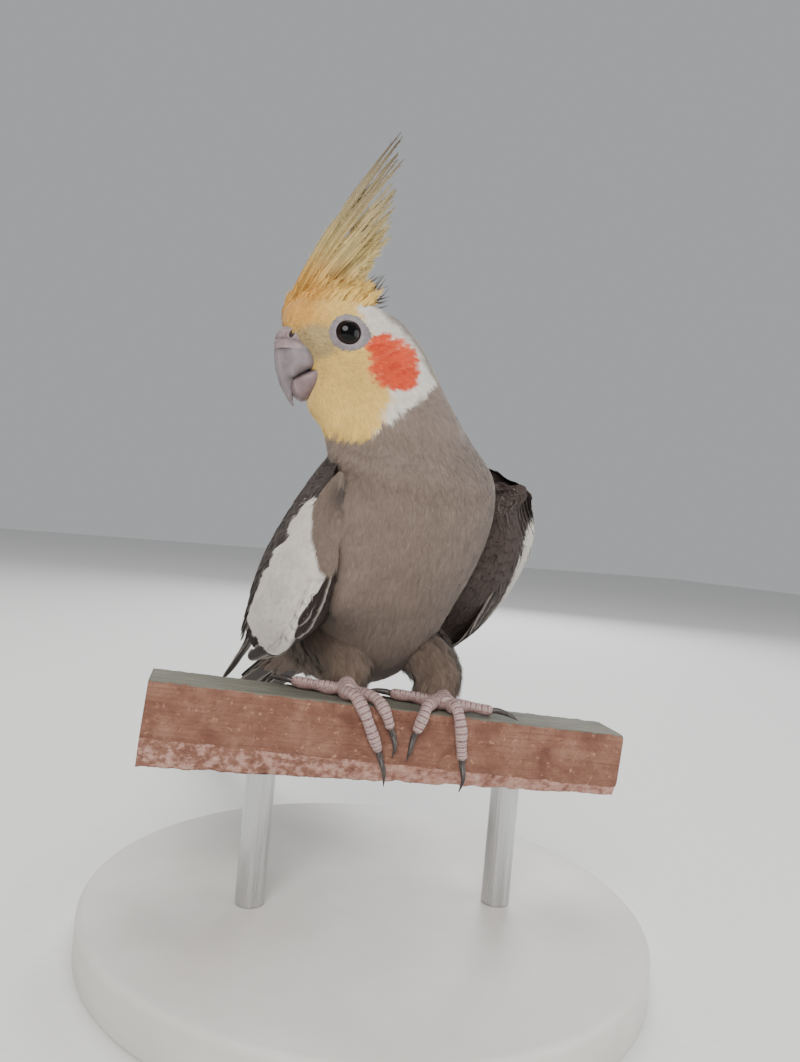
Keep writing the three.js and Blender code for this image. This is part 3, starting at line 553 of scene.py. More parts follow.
def perch_material():
    """Worn red-brown paint on rough-sawn timber: bare grey top, chipped pale lower edge."""
    s = Shader("perch_timber", 0.75, 0.2)
    local = s.attribute("grain")
    place = s.split(local)
    stretched = s.add("ShaderNodeMapping", Vector=local)
    stretched.inputs["Scale"].default_value = (0.06, 1.0, 1.0)
    grain = s.noise(1.1, 6.0, 0.62, 0.4, stretched.outputs["Vector"])
    fine = s.noise(1.3, 5.0, 0.65, vector=local)
    blotch = s.noise(0.13, 4.0, 0.6, 0.3, local)
    flecks = s.noise(0.55, 4.0, 0.6, 0.2, local)
    paint = s.ramp(blotch, (0.3, srgb(110, 74, 62)), (0.5, srgb(136, 96, 80)), (0.7, srgb(154, 114, 97)))
    paint = s.mix(s.ramp(grain, (0.3, 0.55), (0.55, 0.0)), paint, srgb(116, 72, 58))
    paint = s.mix(s.ramp(flecks, (0.6, 0.0), (0.7, 0.75)), paint, srgb(192, 146, 120))
    paint = s.mix(s.ramp(fine, (0.3, 0.5), (0.46, 0.0)), paint, srgb(84, 54, 46))
    bare = s.ramp(grain, (0.25, srgb(82, 80, 72)), (0.5, srgb(112, 110, 99)), (0.8, srgb(142, 138, 126)))
    flakes = s.noise(0.42, 5.0, 0.62, vector=local)
    chipped = s.ramp(flakes, (0.3, srgb(108, 74, 66)), (0.42, srgb(158, 114, 100)), (0.55, srgb(184, 142, 128)),
                     (0.75, srgb(202, 168, 156)))
    right_end = s.ramp(s.plus(s.times(place["X"], 0.011), 0.5), (0.2, 0.3), (0.55, 1.0))
    chipped = s.mix(right_end, s.mix(s.ramp(flakes, (0.45, 0.0), (0.55, 1.0)), paint, chipped), chipped)
    offset = s.add("ShaderNodeVectorMath", {"operation": "DISTANCE"})
    s.links.new(local, offset.inputs[0])
    offset.inputs[1].default_value = KNOT
    from_knot = s.plus(offset.outputs["Value"], s.centred(fine, 4.0))
    chipped = s.mix(s.ramp(from_knot, (0.0, 0.85), (1.0, 0.0)), chipped, srgb(92, 60, 52))
    on_top = s.math("GREATER_THAN", s.plus(place["Z"], s.centred(flecks, 1.6)), -0.35)
    below = s.math("LESS_THAN", s.plus(place["Z"], s.centred(blotch, 3.0)), -15.0)
    colour = s.mix(below, s.mix(on_top, paint, bare), chipped)
    rough = s.ramp(fine, (0.3, 0.6), (0.7, 0.85))
    relief = s.plus(s.times(grain, 1.0), s.times(fine, 0.6))
    return s.finish(colour, s.bump(relief, 0.8, 0.7), rough)


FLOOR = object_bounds()[0][2]
FLOOR_HALF = 3000.0
FLOOR_GAP = 0.00002


def make_floor():
    """A wide floor just under the stand, which is no part of the model."""
    size = FLOOR_HALF
    points = np.array([[-size, -size, 0], [size, -size, 0], [size, size, 0], [-size, size, 0]], float)
    mesh = bpy.data.meshes.new("floor")
    mesh.from_pydata((points * MM + UP * (FLOOR - FLOOR_GAP)).tolist(), [], [[0, 1, 2, 3]])
    mesh.materials.append(floor_material())
    floor = bpy.data.objects.new("floor", mesh)
    bpy.context.scene.collection.objects.link(floor)


make_floor()


# The body's surface

SKIN_SIDES = 192
SKIN_STEPS = 8
DOME_STEPS = 8
DOME_RISE = 1.7
NECK_ROWS = (84, 156)
NECK_PASSES = 60


def body_rings():
    """The body from the tail root to the crown, a grid of rings and angles."""
    place = np.linspace(0, len(BODY_Y) - 1, BODY_RINGS)
    pitch = np.radians(spline(BODY_PITCH, place))
    centre = np.stack([spline(BODY_X, place), spline(BODY_Y, place), PERCH_TOP + spline(BODY_H, place)], -1)
    belly = np.stack([0 * pitch, -np.sin(pitch), -np.cos(pitch)], -1)
    half = spline(BODY_HALF_WIDTH, place)
    side = np.tile(X_AXIS, (BODY_RINGS, 1))
    reach = [half, half, spline(BODY_BELLY, place), spline(BODY_BACK, place)]
    lower = ring(centre, side, belly, reach, SKIN_SIDES)
    place = np.linspace(0, len(HEAD_UP) - 1, HEAD_RINGS)
    front, rear = spline(HEAD_FRONT, place), spline(HEAD_REAR, place)
    tilt = np.radians(spline(HEAD_TILT, place))[:, None]
    near = HEAD_LEFT * np.cos(tilt) - UP * np.sin(tilt)
    centre = head_point((front - rear) / 2, 0 * front, spline(HEAD_UP, place))
    half = (front + rear) / 2
    upper = ring(centre, np.tile(-HEAD_FORWARD, (HEAD_RINGS, 1)), near,
                 [half, half, spline(HEAD_NEAR, place), spline(HEAD_FAR, place)], SKIN_SIDES)
    coarse = np.concatenate([lower, upper])
    fine = spline(coarse, np.linspace(0, len(coarse) - 1, (len(coarse) - 1) * SKIN_STEPS + 1))
    top = fine[-1]
    middle = top.mean(0)
    dome = []
    for k in range(1, DOME_STEPS + 1):
        angle = k / DOME_STEPS * math.pi / 2
        dome.append(middle + (top - middle) * max(math.cos(angle), 0.02) + UP * DOME_RISE * math.sin(angle))
    return np.concatenate([fine, np.array(dome)])


def relaxed(grid, passes, first, last):
    """The grid with its creases eased between two rows."""
    weight = np.zeros(len(grid))
    weight[first:last] = 1
    kernel = np.convolve(weight, np.ones(9) / 9, "same")[:, None, None]
    for _ in range(passes):
        ahead = np.concatenate([grid[1:], grid[-1:]])
        behind = np.concatenate([grid[:1], grid[:-1]])
        around = (np.roll(grid, 1, 1) + np.roll(grid, -1, 1)) / 2
        grid = grid + kernel * 0.5 * ((ahead + behind) / 4 + around / 2 - grid)
    return grid


# The wings' lower, middle and upper edges from the wrist to the tip: half width, back, and up from the perch's top
WING_REAR_LOW = [[27, 59, 0], [22, 90, -8], [16, 130, -20]]
WING_REAR_MID = [[18.5, 92, -1], [13.5, 131, -17.5]]
WING_REAR_HIGH = [[10.8, 40, 47], [8.8, 54, 36.5], [8, 66, 26], [8.5, 92, 6], [10.5, 132, -16.5]]
WINGS = {
    "left": {
        "side": 1,
        "low": [[31.5, -12, 55], [35.5, -9, 45.5], [36.5, -3, 36], [37, 6, 26], [36, 18, 15.5], [32, 38, 7]]
        + WING_REAR_LOW,
        "mid": [[34.5, -12, 60], [40, -5, 54.5], [41.5, 4, 47], [42, 17, 37.5], [39.5, 31, 28],
                [32.5, 47, 19.5], [25, 65, 11.5]] + WING_REAR_MID,
        "high": [[28.5, -11, 65], [25, -2, 68.5], [19, 12, 65], [14, 27, 57.5]] + WING_REAR_HIGH,
    },
    "right": {
        "side": -1,
        "low": [[26.5, -15, 54], [28, -12.5, 44], [29.5, -9, 34.5], [31, -2, 24.5], [31.5, 10, 15], [30, 34, 7]]
        + WING_REAR_LOW,
        "mid": [[28.5, -13, 59], [31.5, -4, 53], [32.5, 8, 46], [32.5, 21, 38], [31, 34, 29],
                [27.5, 48, 20], [22.5, 65, 11.5]] + WING_REAR_MID,
        "high": [[24, -10, 66], [21.5, 0, 69], [17, 13, 64.5], [13, 27, 57]] + WING_REAR_HIGH,
    },
}
WING_CORE_THICKNESS = [6, 11, 13, 13, 10, 4]
WING_CORE_SPAN = [0.1, 4.9]


def wing_point(edges, along, across):
    """The wing's outer surface, along from the wrist at 0, across from its lower edge at 0 to its upper at 1."""
    along, across = np.broadcast_arrays(np.asarray(along, float), np.asarray(across, float))
    low, mid, high = (spline(np.array(edges[key], float), along) for key in ("low", "mid", "high"))
    control = 2 * mid - 0.5 * low - 0.5 * high
    t = across[..., None]
    point = low * (1 - t) ** 2 + control * 2 * (1 - t) * t + high * t * t
    return point * np.array([edges["side"], 1, 1]) + PERCH_LIFT


def surface_cross(surface, edges, along, across, step):
    """A direction square to a surface given by two numbers."""
    forward = surface(edges, along + step, across) - surface(edges, along - step, across)
    over = surface(edges, along, across + step) - surface(edges, along, across - step)
    return unit(np.cross(forward, over))


def wing_normal(edges, along, across):
    """Outward normals of the wing."""
    return surface_cross(wing_point, edges, along, across, 0.02) * edges["side"]


OUTER = relaxed(body_rings(), NECK_PASSES, *NECK_ROWS)
ROWS = len(OUTER)

# How far across the right wing the breast feathers reach, by the place along it
BREAST_COVER = [[-0.8, 0.1, 0.35, 0.5, 0.75, 1.0, 1.3, 1.75],
                [0.30, 0.28, 0.22, 0.15, 0.08, 0.02, -0.04, -0.12]]
# The middle lines of the thighs, from the hip to the ankle, and their radii
LEG_PATHS = {
    "right": [[-12.6, 20, 28], [-13.3, 15, 18], [-10.8, 5.6, 11.5], [-10.8, 4.1, 6.9]],
    "left": [[12.2, 20, 28], [12.8, 15, 18], [14.1, -2.4, 9.7], [14.1, -3.9, 5.1]],
}
LEG_RADII = [9.5, 8.0, 6.0, 4.6]


def grid_normals(grid):
    """Outward normals of a grid of rings."""
    along = np.gradient(grid, axis=0)
    around = np.roll(grid, -1, 1) - np.roll(grid, 1, 1)
    normal = unit(np.cross(around, along))
    centre = grid.mean(1, keepdims=True)
    return normal * np.sign(np.sum(dot(normal, grid - centre)))


def wing_sheet(edges, along, low, high, offset, columns=30):
    """A patch of the wing's outer surface between two limits across it, moved out by the offset."""
    along = along[:, None]
    t = np.linspace(0, 1, columns)[None, :]
    across = (0 * along + np.reshape(low, (-1, 1))) * (1 - t) + (0 * along + np.reshape(high, (-1, 1))) * t
    along = np.broadcast_to(along, across.shape)
    return sheet_tree(wing_point(edges, along, across) + wing_normal(edges, along, across) * offset)


LEG_ROWS = 44
LEG_SIDES = 56


def leg_line(name, u):
    """The thigh's middle and radius at fractions of its length."""
    place = u * (len(LEG_RADII) - 1)
    return spline(np.array(LEG_PATHS[name], float) + PERCH_LIFT, place), spline(LEG_RADII, place)


def leg_surface(name):
    """Rings of the feathered thigh with their middles and the directions that span them."""
    centre, radius = leg_line(name, np.linspace(0, 1, LEG_ROWS))
    ahead = unit(np.gradient(centre, axis=0))
    first = unit(np.cross(ahead, X_AXIS))
    second = np.cross(ahead, first)
    return ring(centre, second, first, [radius] * 4, LEG_SIDES), centre, radius, ahead, first, second


# Heights above the perch below which the body can meet the right wing and the thighs
WING_TOP = 75
THIGH_TOP = 42
# How far the body's feathers lie over the wing's front, in it beside the breast, and under the rest of it
OVER_WING, IN_WING, UNDER_WING = 2.3, -0.4, 1.6
SWELL_STEPS = 190
SWELL_HELD = 175
# A hollow at the right shoulder is filled by a soft mound: place, height and reach
MOUND_AT = np.array([-25.0, -14.2, 57.0]) + PERCH_LIFT
MOUND_HEIGHT = 1.5
MOUND_REACH = 3.4


def neighbours(field):
    """The sum of the four neighbours of each value of a grid that is closed round its columns."""
    return (np.roll(field, 1, 1) + np.roll(field, -1, 1) + np.vstack([field[1:], field[-1:]])
            + np.vstack([field[:1], field[:-1]]))


def swell(grid, normal):
    """How far the body's feathers swell out over the right wing's front, beside it and over the thighs."""
    right = WINGS["right"]
    along = np.linspace(-0.95, 1.75, 70)
    cover = np.minimum(np.interp(along, *BREAST_COVER), 0.04)
    inner = np.interp(along, [-0.9, 0.1, 0.5, 1.0, 1.75], [-0.55, -0.40, -0.26, -0.18, -0.15])
    targets = [wing_sheet(right, along, inner, cover, OVER_WING),
               wing_sheet(right, np.linspace(1.6, 3.1, 40), -0.2, -0.12, IN_WING)]
    wing = wing_sheet(right, np.linspace(-0.8, 5, 90), -0.15, 1, 0.0, 70)
    legs = []
    for name in LEG_PATHS:
        rings, middles, radii = leg_surface(name)[:3]
        legs.append((surface_tree(rings, grid_faces(LEG_ROWS, LEG_SIDES)), middles, radii))
    rise = np.zeros(grid.shape[:2])
    fixed = np.zeros(grid.shape[:2], dtype=bool)
    limit = np.full(grid.shape[:2], 99.0)
    for i, j in np.ndindex(grid.shape[:2]):
        place, facing = Vector(grid[i, j]), Vector(normal[i, j])
        height = place.z - PERCH_TOP
        if place.x < 0 and height < WING_TOP:
            for tree in targets:
                distance = tree.ray_cast(place, facing, 14.0)[3]
                if distance is not None:
                    rise[i, j], fixed[i, j] = max(rise[i, j], distance), True
            distance = wing.ray_cast(place, facing, 16.0)[3]
            if distance is not None and not fixed[i, j]:
                limit[i, j] = max(distance - UNDER_WING, 0)
        if height < THIGH_TOP:
            for tree, middles, radii in legs:
                within = np.min(np.linalg.norm(middles - grid[i, j], axis=1) - radii) < -0.2
                hit, *_, distance = tree.ray_cast(place, facing, 10.0)
                if within and hit is not None:
                    weight = smooth_step(12.0, 21.0, hit.z - PERCH_TOP) * smooth_step(10.0, 5.0, distance)
                    rise[i, j] = max(rise[i, j], (distance + 0.4) * weight)
    for _ in range(4):
        eased = rise * 0.5 + neighbours(rise) / 8
        rise = np.where(fixed, np.maximum(rise * 0.7, eased), eased)
    spread = rise.copy()
    for step in range(SWELL_STEPS):
        held = rise if step < SWELL_HELD else rise * 0
        spread = np.minimum(np.maximum(neighbours(spread) / 4, held), limit)
    from_mound = np.linalg.norm(grid - MOUND_AT, axis=-1)
    return spread + MOUND_HEIGHT * np.exp(-0.5 * (from_mound / MOUND_REACH) ** 2)


PLAIN_NORMAL = grid_normals(OUTER)
OUTER = OUTER + PLAIN_NORMAL * swell(OUTER, PLAIN_NORMAL)[..., None]
OUTER_NORMAL = grid_normals(OUTER)
OUTER_NORMAL[-1] = UP


def sample(grid, row, column):
    """Values of the grid at fractional rows and columns."""
    r = np.clip(np.floor(row).astype(int), 0, ROWS - 2)
    c = np.floor(column).astype(int)
    fr, fc = (row - r)[..., None], (column - c)[..., None]
    c0, c1 = c % SKIN_SIDES, (c + 1) % SKIN_SIDES
    return ((grid[r, c0] * (1 - fc) + grid[r, c1] * fc) * (1 - fr)
            + (grid[r + 1, c0] * (1 - fc) + grid[r + 1, c1] * fc) * fr)


def coat_depth(p):
    """How far the skin lies below the outer form."""
    f, _, h = head_coords(p)
    body = 1.5 + 0.6 * smooth_step(60, 20, p[..., 2] - PERCH_TOP)
    face = smooth_step(-34, -20, h)
    depth = body * (1 - face) + 0.8 * face
    near_bill = smooth_step(9, 4, np.hypot(f - 14, h + 6))
    return depth * (1 - 0.6 * near_bill)


EYE_RADIUS = 4.6
EYE_SIDE = 7.9
EYE_UP = -1.0


def socket_depth(p):
    """Hollows in which the eyeballs lie."""
    f, l, h = head_coords(p)
    return 3.2 * smooth_step(3.5, 2.7, np.hypot(f, h - EYE_UP)) * (np.abs(l) > 5)


FACE_LEVEL = OUTER - OUTER_NORMAL * coat_depth(OUTER)[..., None]
SKIN = FACE_LEVEL - OUTER_NORMAL * socket_depth(FACE_LEVEL)[..., None]


# Markings

TAUPE = srgb(130, 114, 104)
TAUPE_LOW = srgb(114, 98, 88)
FLANK = srgb(104, 88, 78)
OLIVE = srgb(118, 101, 86)
YELLOW = srgb(228, 190, 108)
FOREHEAD = srgb(218, 164, 84)
LORE = srgb(170, 152, 118)
WHITE = srgb(222, 216, 206)
ORANGE = srgb(222, 84, 52)
ORANGE_PALE = srgb(234, 132, 98)
ORANGE_DEEP = srgb(200, 58, 38)
CROWN_GREY = srgb(140, 128, 118)


def markings(p):
    """The plumage's colour at points on the head and body."""
    f, l, h = head_coords(p)
    side = np.abs(l)
    rough = wave_noise(p, 3.2, 3)
    slow = wave_noise(p, 16.0, 4)
    height = p[..., 2] - PERCH_TOP
    low = smooth_step(45, 8, height + 3 * slow)
    colour = blend(even(TAUPE, p), TAUPE_LOW, low)
    flank = smooth_step(12, 24, np.abs(p[..., 0])) * smooth_step(34, 14, height)
    colour = blend(colour, FLANK, 0.6 * flank)
    border = -28.5 + np.maximum(0, -7 - f) * 0.95
    on_head = smooth_step(-1.0, 1.0, h - border + 1.3 * rough)
    rear_limit = np.interp(h, [-30, -18, -7, 2, 6, 12], [-7, -12, -8.5, -4.4, -2.5, -6])
    yellow = smooth_step(-1.6, 1.6, f - rear_limit + 1.2 * rough)
    head = blend(even(WHITE, p), YELLOW, yellow)
    forehead = smooth_step(3, 12, f) * smooth_step(-4, 2, h) * yellow
    head = blend(head, FOREHEAD, forehead)
    lore = smooth_step(5.5, 3.0, np.hypot((f - 8) / 1.4, h + 4)) * yellow
    head = blend(head, LORE, 0.75 * lore)
    crown = smooth_step(9.0, 6.0, side + 0.9 * rough - 0.3 * np.maximum(0, -12 - h)) * smooth_step(-7, -12, f)
    head = blend(head, CROWN_GREY, crown)
    along = (f + 12.6) * 0.94 - (h + 7.3) * 0.34
    across = (f + 12.6) * 0.34 + (h + 7.3) * 0.94
    streak = wave_noise(np.stack([along * 0.22, across, 0 * across], -1), 1.5, 8)
    around = np.abs((f + 12.7) / 7.4) ** 2.8 + np.abs((h + 7.3) / 7.4) ** 2.8
    patch = smooth_step(1.25, 0.75, around + 0.42 * streak + 0.15 * rough) * smooth_step(3, 6, side)
    orange = blend(even(ORANGE, p), ORANGE_PALE, smooth_step(0.25, 0.9, streak))
    orange = blend(orange, ORANGE_DEEP, smooth_step(-0.25, -0.9, streak))
    head = blend(head, orange, patch)
    return blend(colour, head, on_head)


def make_skin():
    """The closed skin under the coat of head, neck and body."""
    points, faces = loft(SKIN)
    add_mesh("skin", points, faces, skin_material(), vectors={"tint": markings(points)}, slot="body_feathers",
             replaces=("torso", "neck", "head"))


make_skin()
skin_tree = surface_tree(FACE_LEVEL, grid_faces(ROWS, SKIN_SIDES))


# The coat

TRIES_PER_ROOT = 5.0
CELLS_AROUND = [(x, y, z) for x in (-1, 0, 1) for y in (-1, 0, 1) for z in (-1, 0, 1)]


def thinned(place, gap):
    """The indices of points that keep their own gap from all that were kept before them."""
    cells, chosen = {}, []
    keys = np.floor(place / float(gap.max())).astype(int).tolist()
    for k, (key, p, g) in enumerate(zip(keys, place.tolist(), (gap ** 2).tolist())):
        near = (q for step in CELLS_AROUND
                for q in cells.get((key[0] + step[0], key[1] + step[1], key[2] + step[2]), ()))
        if all((p[0] - q[0]) ** 2 + (p[1] - q[1]) ** 2 + (p[2] - q[2]) ** 2 >= g for q in near):
            cells.setdefault(tuple(key), []).append(p)
            chosen.append(k)
    return chosen


def scatter(rows, spacing, seed, keep=None):
    """Rows and columns of evenly spread roots on the body's grid, at a spacing given by a function of place."""
    draw = np.random.default_rng(seed)
    first, last = rows
    block = SKIN[first:last + 1]
    area = (np.linalg.norm(np.diff(block, axis=0), axis=-1)
            * np.linalg.norm((np.roll(block, -1, 1) - block)[:-1], axis=-1))
    tries = int(area.sum() / float(np.min(spacing(block))) ** 2 * TRIES_PER_ROOT)
    cell = draw.choice(area.size, size=tries, p=area.ravel() / area.sum())
    row = first + cell // SKIN_SIDES + draw.random(tries)
    column = cell % SKIN_SIDES + draw.random(tries)
    place = sample(SKIN, row, column)
    gap = spacing(place)
    if keep is not None:
        wanted = keep(place)
        row, column, place, gap = row[wanted], column[wanted], place[wanted], gap[wanted]
    chosen = thinned(place, gap)
    return row[chosen], column[chosen]


def lie_of_coat(place, normal):
    """The direction in which the feathers point: from the bill over the head, then down the body."""
    f, _, h = head_coords(place)
    height = place[:, 2] - PERCH_TOP
    lean = 0.25 + 0.42 * smooth_step(60, 35, height)
    body = np.stack([0 * lean, lean, -np.ones(len(lean))], -1)
    from_bill = unit(place - head_point(17.0, 0.0, -5.0)) - HEAD_FORWARD * 0.5
    on_head = smooth_step(-30, -12, h)[:, None]
    crown = (smooth_step(-1, 4, h) * smooth_step(-7, -3, f))[:, None]
    flow = body * (1 - on_head) + unit(unit(from_bill) + UP * 1.1 * crown) * on_head
    droop = smooth_step(-4, -16, h)[:, None] * on_head
    flow = flow - UP * 0.5 * droop
    return unit(flow - normal * dot(flow, normal)[:, None])


BLADE_ROW = 5


def blade_template(blades, seed, fineness=0.34, rise=0.03):
    """A soft small feather, a short plate under a fan of fine barbs. The last array numbers the barbs."""
    draw = np.random.default_rng(seed)
    points = [[-0.5, 0.0, 0], [0.5, 0.0, 0], [-0.8, 0.45, 0], [0.8, 0.45, 0], [0, 0.80, 0]]
    faces = [[0, 1, 3], [0, 3, 2], [2, 3, 4]]
    barb = [0] * BLADE_ROW
    for k in range(blades):
        t = (k + 0.5) / blades * 2 - 1
        root_x, root_y = 0.62 * t, 0.26 + 0.25 * (1 - abs(t)) + draw.uniform(-0.08, 0.08)
        tip_x, tip_y = 1.02 * t + draw.uniform(-0.14, 0.14), 1.0 - 0.26 * t * t + draw.uniform(-0.10, 0.10)
        half = fineness / blades + 0.035
        up = draw.uniform(0.004, rise)
        start = len(points)
        middle_x, middle_y = (root_x + tip_x) / 2, (root_y + tip_y) / 2
        points += [[root_x - half, root_y, 0.004], [root_x + half, root_y, 0.004],
                   [middle_x - half * 0.8, middle_y, up], [middle_x + half * 0.8, middle_y, up],
                   [tip_x, tip_y, up]]
        faces += [[start, start + 1, start + 3], [start, start + 3, start + 2],
                  [start + 2, start + 3, start + 4]]
        barb += [k + 1] * BLADE_ROW
    return np.array(points), np.array(faces), np.array(barb)


def skin_roots(row, column):
    """Place, normal, flow and unwrap of roots on the body's grid."""
    place = sample(SKIN, row, column)
    normal = unit(sample(OUTER_NORMAL, row, column))
    unwrap = np.stack([column / SKIN_SIDES % 1.0, row / ROWS], -1)
    return place, normal, lie_of_coat(place, normal), unwrap


# The size of each feather's patch in the bake's map
PATCH = 0.003


def grow_coat(name, roots, length, width, lift, template, material, tip_gap, curve_radius, seed,
              tone=0.03, barb_tone=0.08, wild=5.0, colour=markings, tree=skin_tree, slot="body_feathers"):
    """One joined mesh of small feathers on their roots, bent so that the tips lie just above a surface."""
    draw = np.random.default_rng(seed)
    place, normal, flow, unwrap = roots
    count = len(place)
    angle = np.radians(draw.normal(0, wild, count))[:, None]
    flow = unit(flow * np.cos(angle) + np.cross(normal, flow) * np.sin(angle))
    side = np.cross(normal, flow)
    roll = np.radians(draw.normal(0, wild, count))[:, None]
    side = side * np.cos(roll) + normal * np.sin(roll)
    length = length * draw.uniform(0.8, 1.2, count)
    width = width * draw.uniform(0.85, 1.15, count)
    tip = place + flow * length[:, None]
    stand_off = np.zeros(count)
    for k in range(count):
        nearest = tree.find_nearest(Vector(tip[k]))[0]
        stand_off[k] = (Vector(tip[k]) - nearest).dot(Vector(normal[k]))
    bend = np.clip(stand_off - tip_gap * draw.uniform(0.6, 1.5, count), -6, 6)
    x, y, z = template[0].T
    across = x[None, :] * width[:, None] / 2
    rise = (z[None, :] * length[:, None] + lift * np.sin(np.minimum(y, 1) * math.pi)[None, :] + 0.1
            - bend[:, None] * y[None, :] ** 2 - across ** 2 / (2 * curve_radius))
    points = (place[:, None] + flow[:, None] * (y[None, :] * length[:, None])[..., None]
              + side[:, None] * across[..., None] + normal[:, None] * rise[..., None])
    tint = colour(place + flow * (0.45 * length)[:, None]) * draw.normal(1, tone, count)[:, None]
    tones = draw.normal(1, barb_tone, (count, template[2].max() + 1))
    tones[:, 0] = 0.97
    # Each feather is painted darker at its root and lighter at its tip: painted shade where the feathers overlap
    shade = 0.92 + 0.12 * np.clip(y, 0, 1)
    colours = tint[:, None] * (tones[:, template[2]] * shade[None, :])[..., None]
    local = np.stack([x / 2, y - 0.5], -1) * PATCH
    uv = np.clip(unwrap[:, None] * (1 - 2 * PATCH) + PATCH + local[None], 0, 1)
    faces = template[1][None] + (np.arange(count) * len(x))[:, None, None]
    return add_mesh(name, points.reshape(-1, 3), faces.reshape(-1, 3), material,
                    uv=uv.reshape(-1, 2), vectors={"tint": colours.reshape(-1, 3)}, slot=slot)


def picked(roots, mask):
    """The roots for which the mask is true."""
    return tuple(values[mask] for values in roots)


# Wings, tail and crest

# A vane's edge: where it is widest, its width at the root and gain, where it narrows, over what length, and how
OUTLINES = {
    "long": (0.25, 0.7, 1.2, 0.72, 0.29, 2.4),
    "point": (0.3, 0.75, 0.83, 0.45, 0.57, 1.9),
    "round": (0.4, 0.7, 0.75, 0.55, 0.46, 2.2),
}


def vane_outline(u, kind):
    """Half width along a feather, from 0 at the root to 1 at the tip."""
    full, root, gain, narrows, length, power = OUTLINES[kind]
    tip = 1 - np.clip((u - narrows) / length, 0, 1) ** power
    return np.where(u < full, root + gain * u, 1.0) * (np.clip(tip, 0.03, 1) if kind == "point"
                                                      else np.sqrt(np.clip(tip, 0, 1)))


def build_vane(centre, side, normal, outer, inner, draw, columns=9, camber=0.06, thickness=0.14, splits=2,
               barbs=10, barb_length=1.2, shaft_height=0.12):
    """A closed thin vane with a shaft, a few splits in its edges and loose barbs. Rows run along the feather.

    Returns points, faces, places in millimetres for the pattern, and places across (-1 to 1) and along (0 to 1).
    """
    rows = len(centre)
    u = np.linspace(0, 1, rows)
    t = np.linspace(-1, 1, columns)
    reach = np.where(t[None, :] < 0, outer[:, None], inner[:, None]) * t[None, :]
    drawn_in = np.ones((rows, columns))
    for _ in range(splits):
        edge = draw.choice([-1, 1])
        at = draw.uniform(0.35, 0.92)
        deep = draw.uniform(0.25, 0.6)
        notch = deep * np.exp(-((u - at) * rows / 0.9) ** 2)
        on_edge = np.clip((t * edge - 0.35) / 0.65, 0, 1)
        drawn_in -= notch[:, None] * on_edge[None, :]
    wavy = 1 + 0.035 * np.sin(u * draw.uniform(20, 40) + draw.uniform(0, 6))[:, None] * np.abs(t)[None, :]
    reach = reach * drawn_in * wavy
    ahead = unit(np.gradient(centre, axis=0))
    width = (outer + inner)[:, None] / 2 + 1e-6
    sag = -camber * (reach / width) ** 2 * width
    shaft = shaft_height * np.exp(-(t / 0.14) ** 2)[None, :] * (1 - 0.7 * u[:, None])
    base = centre[:, None] + side[:, None] * reach[..., None]
    upper = base + normal[:, None] * (sag + thickness / 2 + shaft)[..., None]
    lower = base + normal[:, None] * (sag - thickness / 2)[..., None]
    points = np.concatenate([upper.reshape(-1, 3), lower.reshape(-1, 3)])
    top = grid_faces(rows, columns, wrap=False)
    faces = top.tolist() + (top[:, ::-1] + rows * columns).tolist()
    low = rows * columns
    for r in range(rows - 1):
        for c, flip in ((0, 1), (columns - 1, 0)):
            a, b = r * columns + c, (r + 1) * columns + c
            faces.append([a, b, b + low, a + low] if not flip else [b, a, a + low, b + low])
    for c in range(columns - 1):
        faces.append([c + 1, c, c + low, c + 1 + low])
        a = (rows - 1) * columns + c
        faces.append([a, a + 1, a + 1 + low, a + low])
    uu = np.repeat(u, columns)
    tt = np.tile(t, rows)
    along = np.concatenate([[0], np.cumsum(np.linalg.norm(np.diff(centre, axis=0), axis=1))])
    vane_uv = np.stack([reach.ravel(), np.repeat(along, columns)], -1)
    vane_uv = np.concatenate([vane_uv, vane_uv])
    local = np.concatenate([np.stack([tt, uu], -1)] * 2)
    extra, extra_faces, extra_uv, extra_local = [], [], [], []
    for _ in range(barbs):
        edge = draw.choice([-1, 1])
        r = draw.uniform(0.3, 0.97) * (rows - 1)
        i = int(r)
        f = r - i
        rim = columns - 1 if edge > 0 else 0
        here = (upper[i, rim] * (1 - f) + upper[min(i + 1, rows - 1), rim] * f)
        inward = (upper[i, rim] - upper[i, rim - edge])
        away = unit(ahead[i] * 1.0 + side[i] * edge * draw.uniform(0.25, 0.6)
                    + normal[i] * draw.uniform(-0.05, 0.15))
        long = barb_length * draw.uniform(0.5, 1.2)
        wide = ahead[i] * 0.16
        start = len(points) + len(extra)
        root = here - inward * 0.5
        extra += [root - wide, root + wide, here + away * long]
        extra_faces.append([start, start + 1, start + 2])
        extra_uv += [[edge * 1.0, along[i]]] * 3
        extra_local += [[edge, u[i]]] * 3
    if extra:
        points = np.concatenate([points, np.array(extra)])
        faces += extra_faces
        vane_uv = np.concatenate([vane_uv, np.array(extra_uv)])
        local = np.concatenate([local, np.array(extra_local)])
    return points, faces, vane_uv, local


# How a vane fills its tile of the unwrap
TILE_FILLED, TILE_ORIGIN = np.array([0.42, 0.86]), np.array([0.5, 0.07])


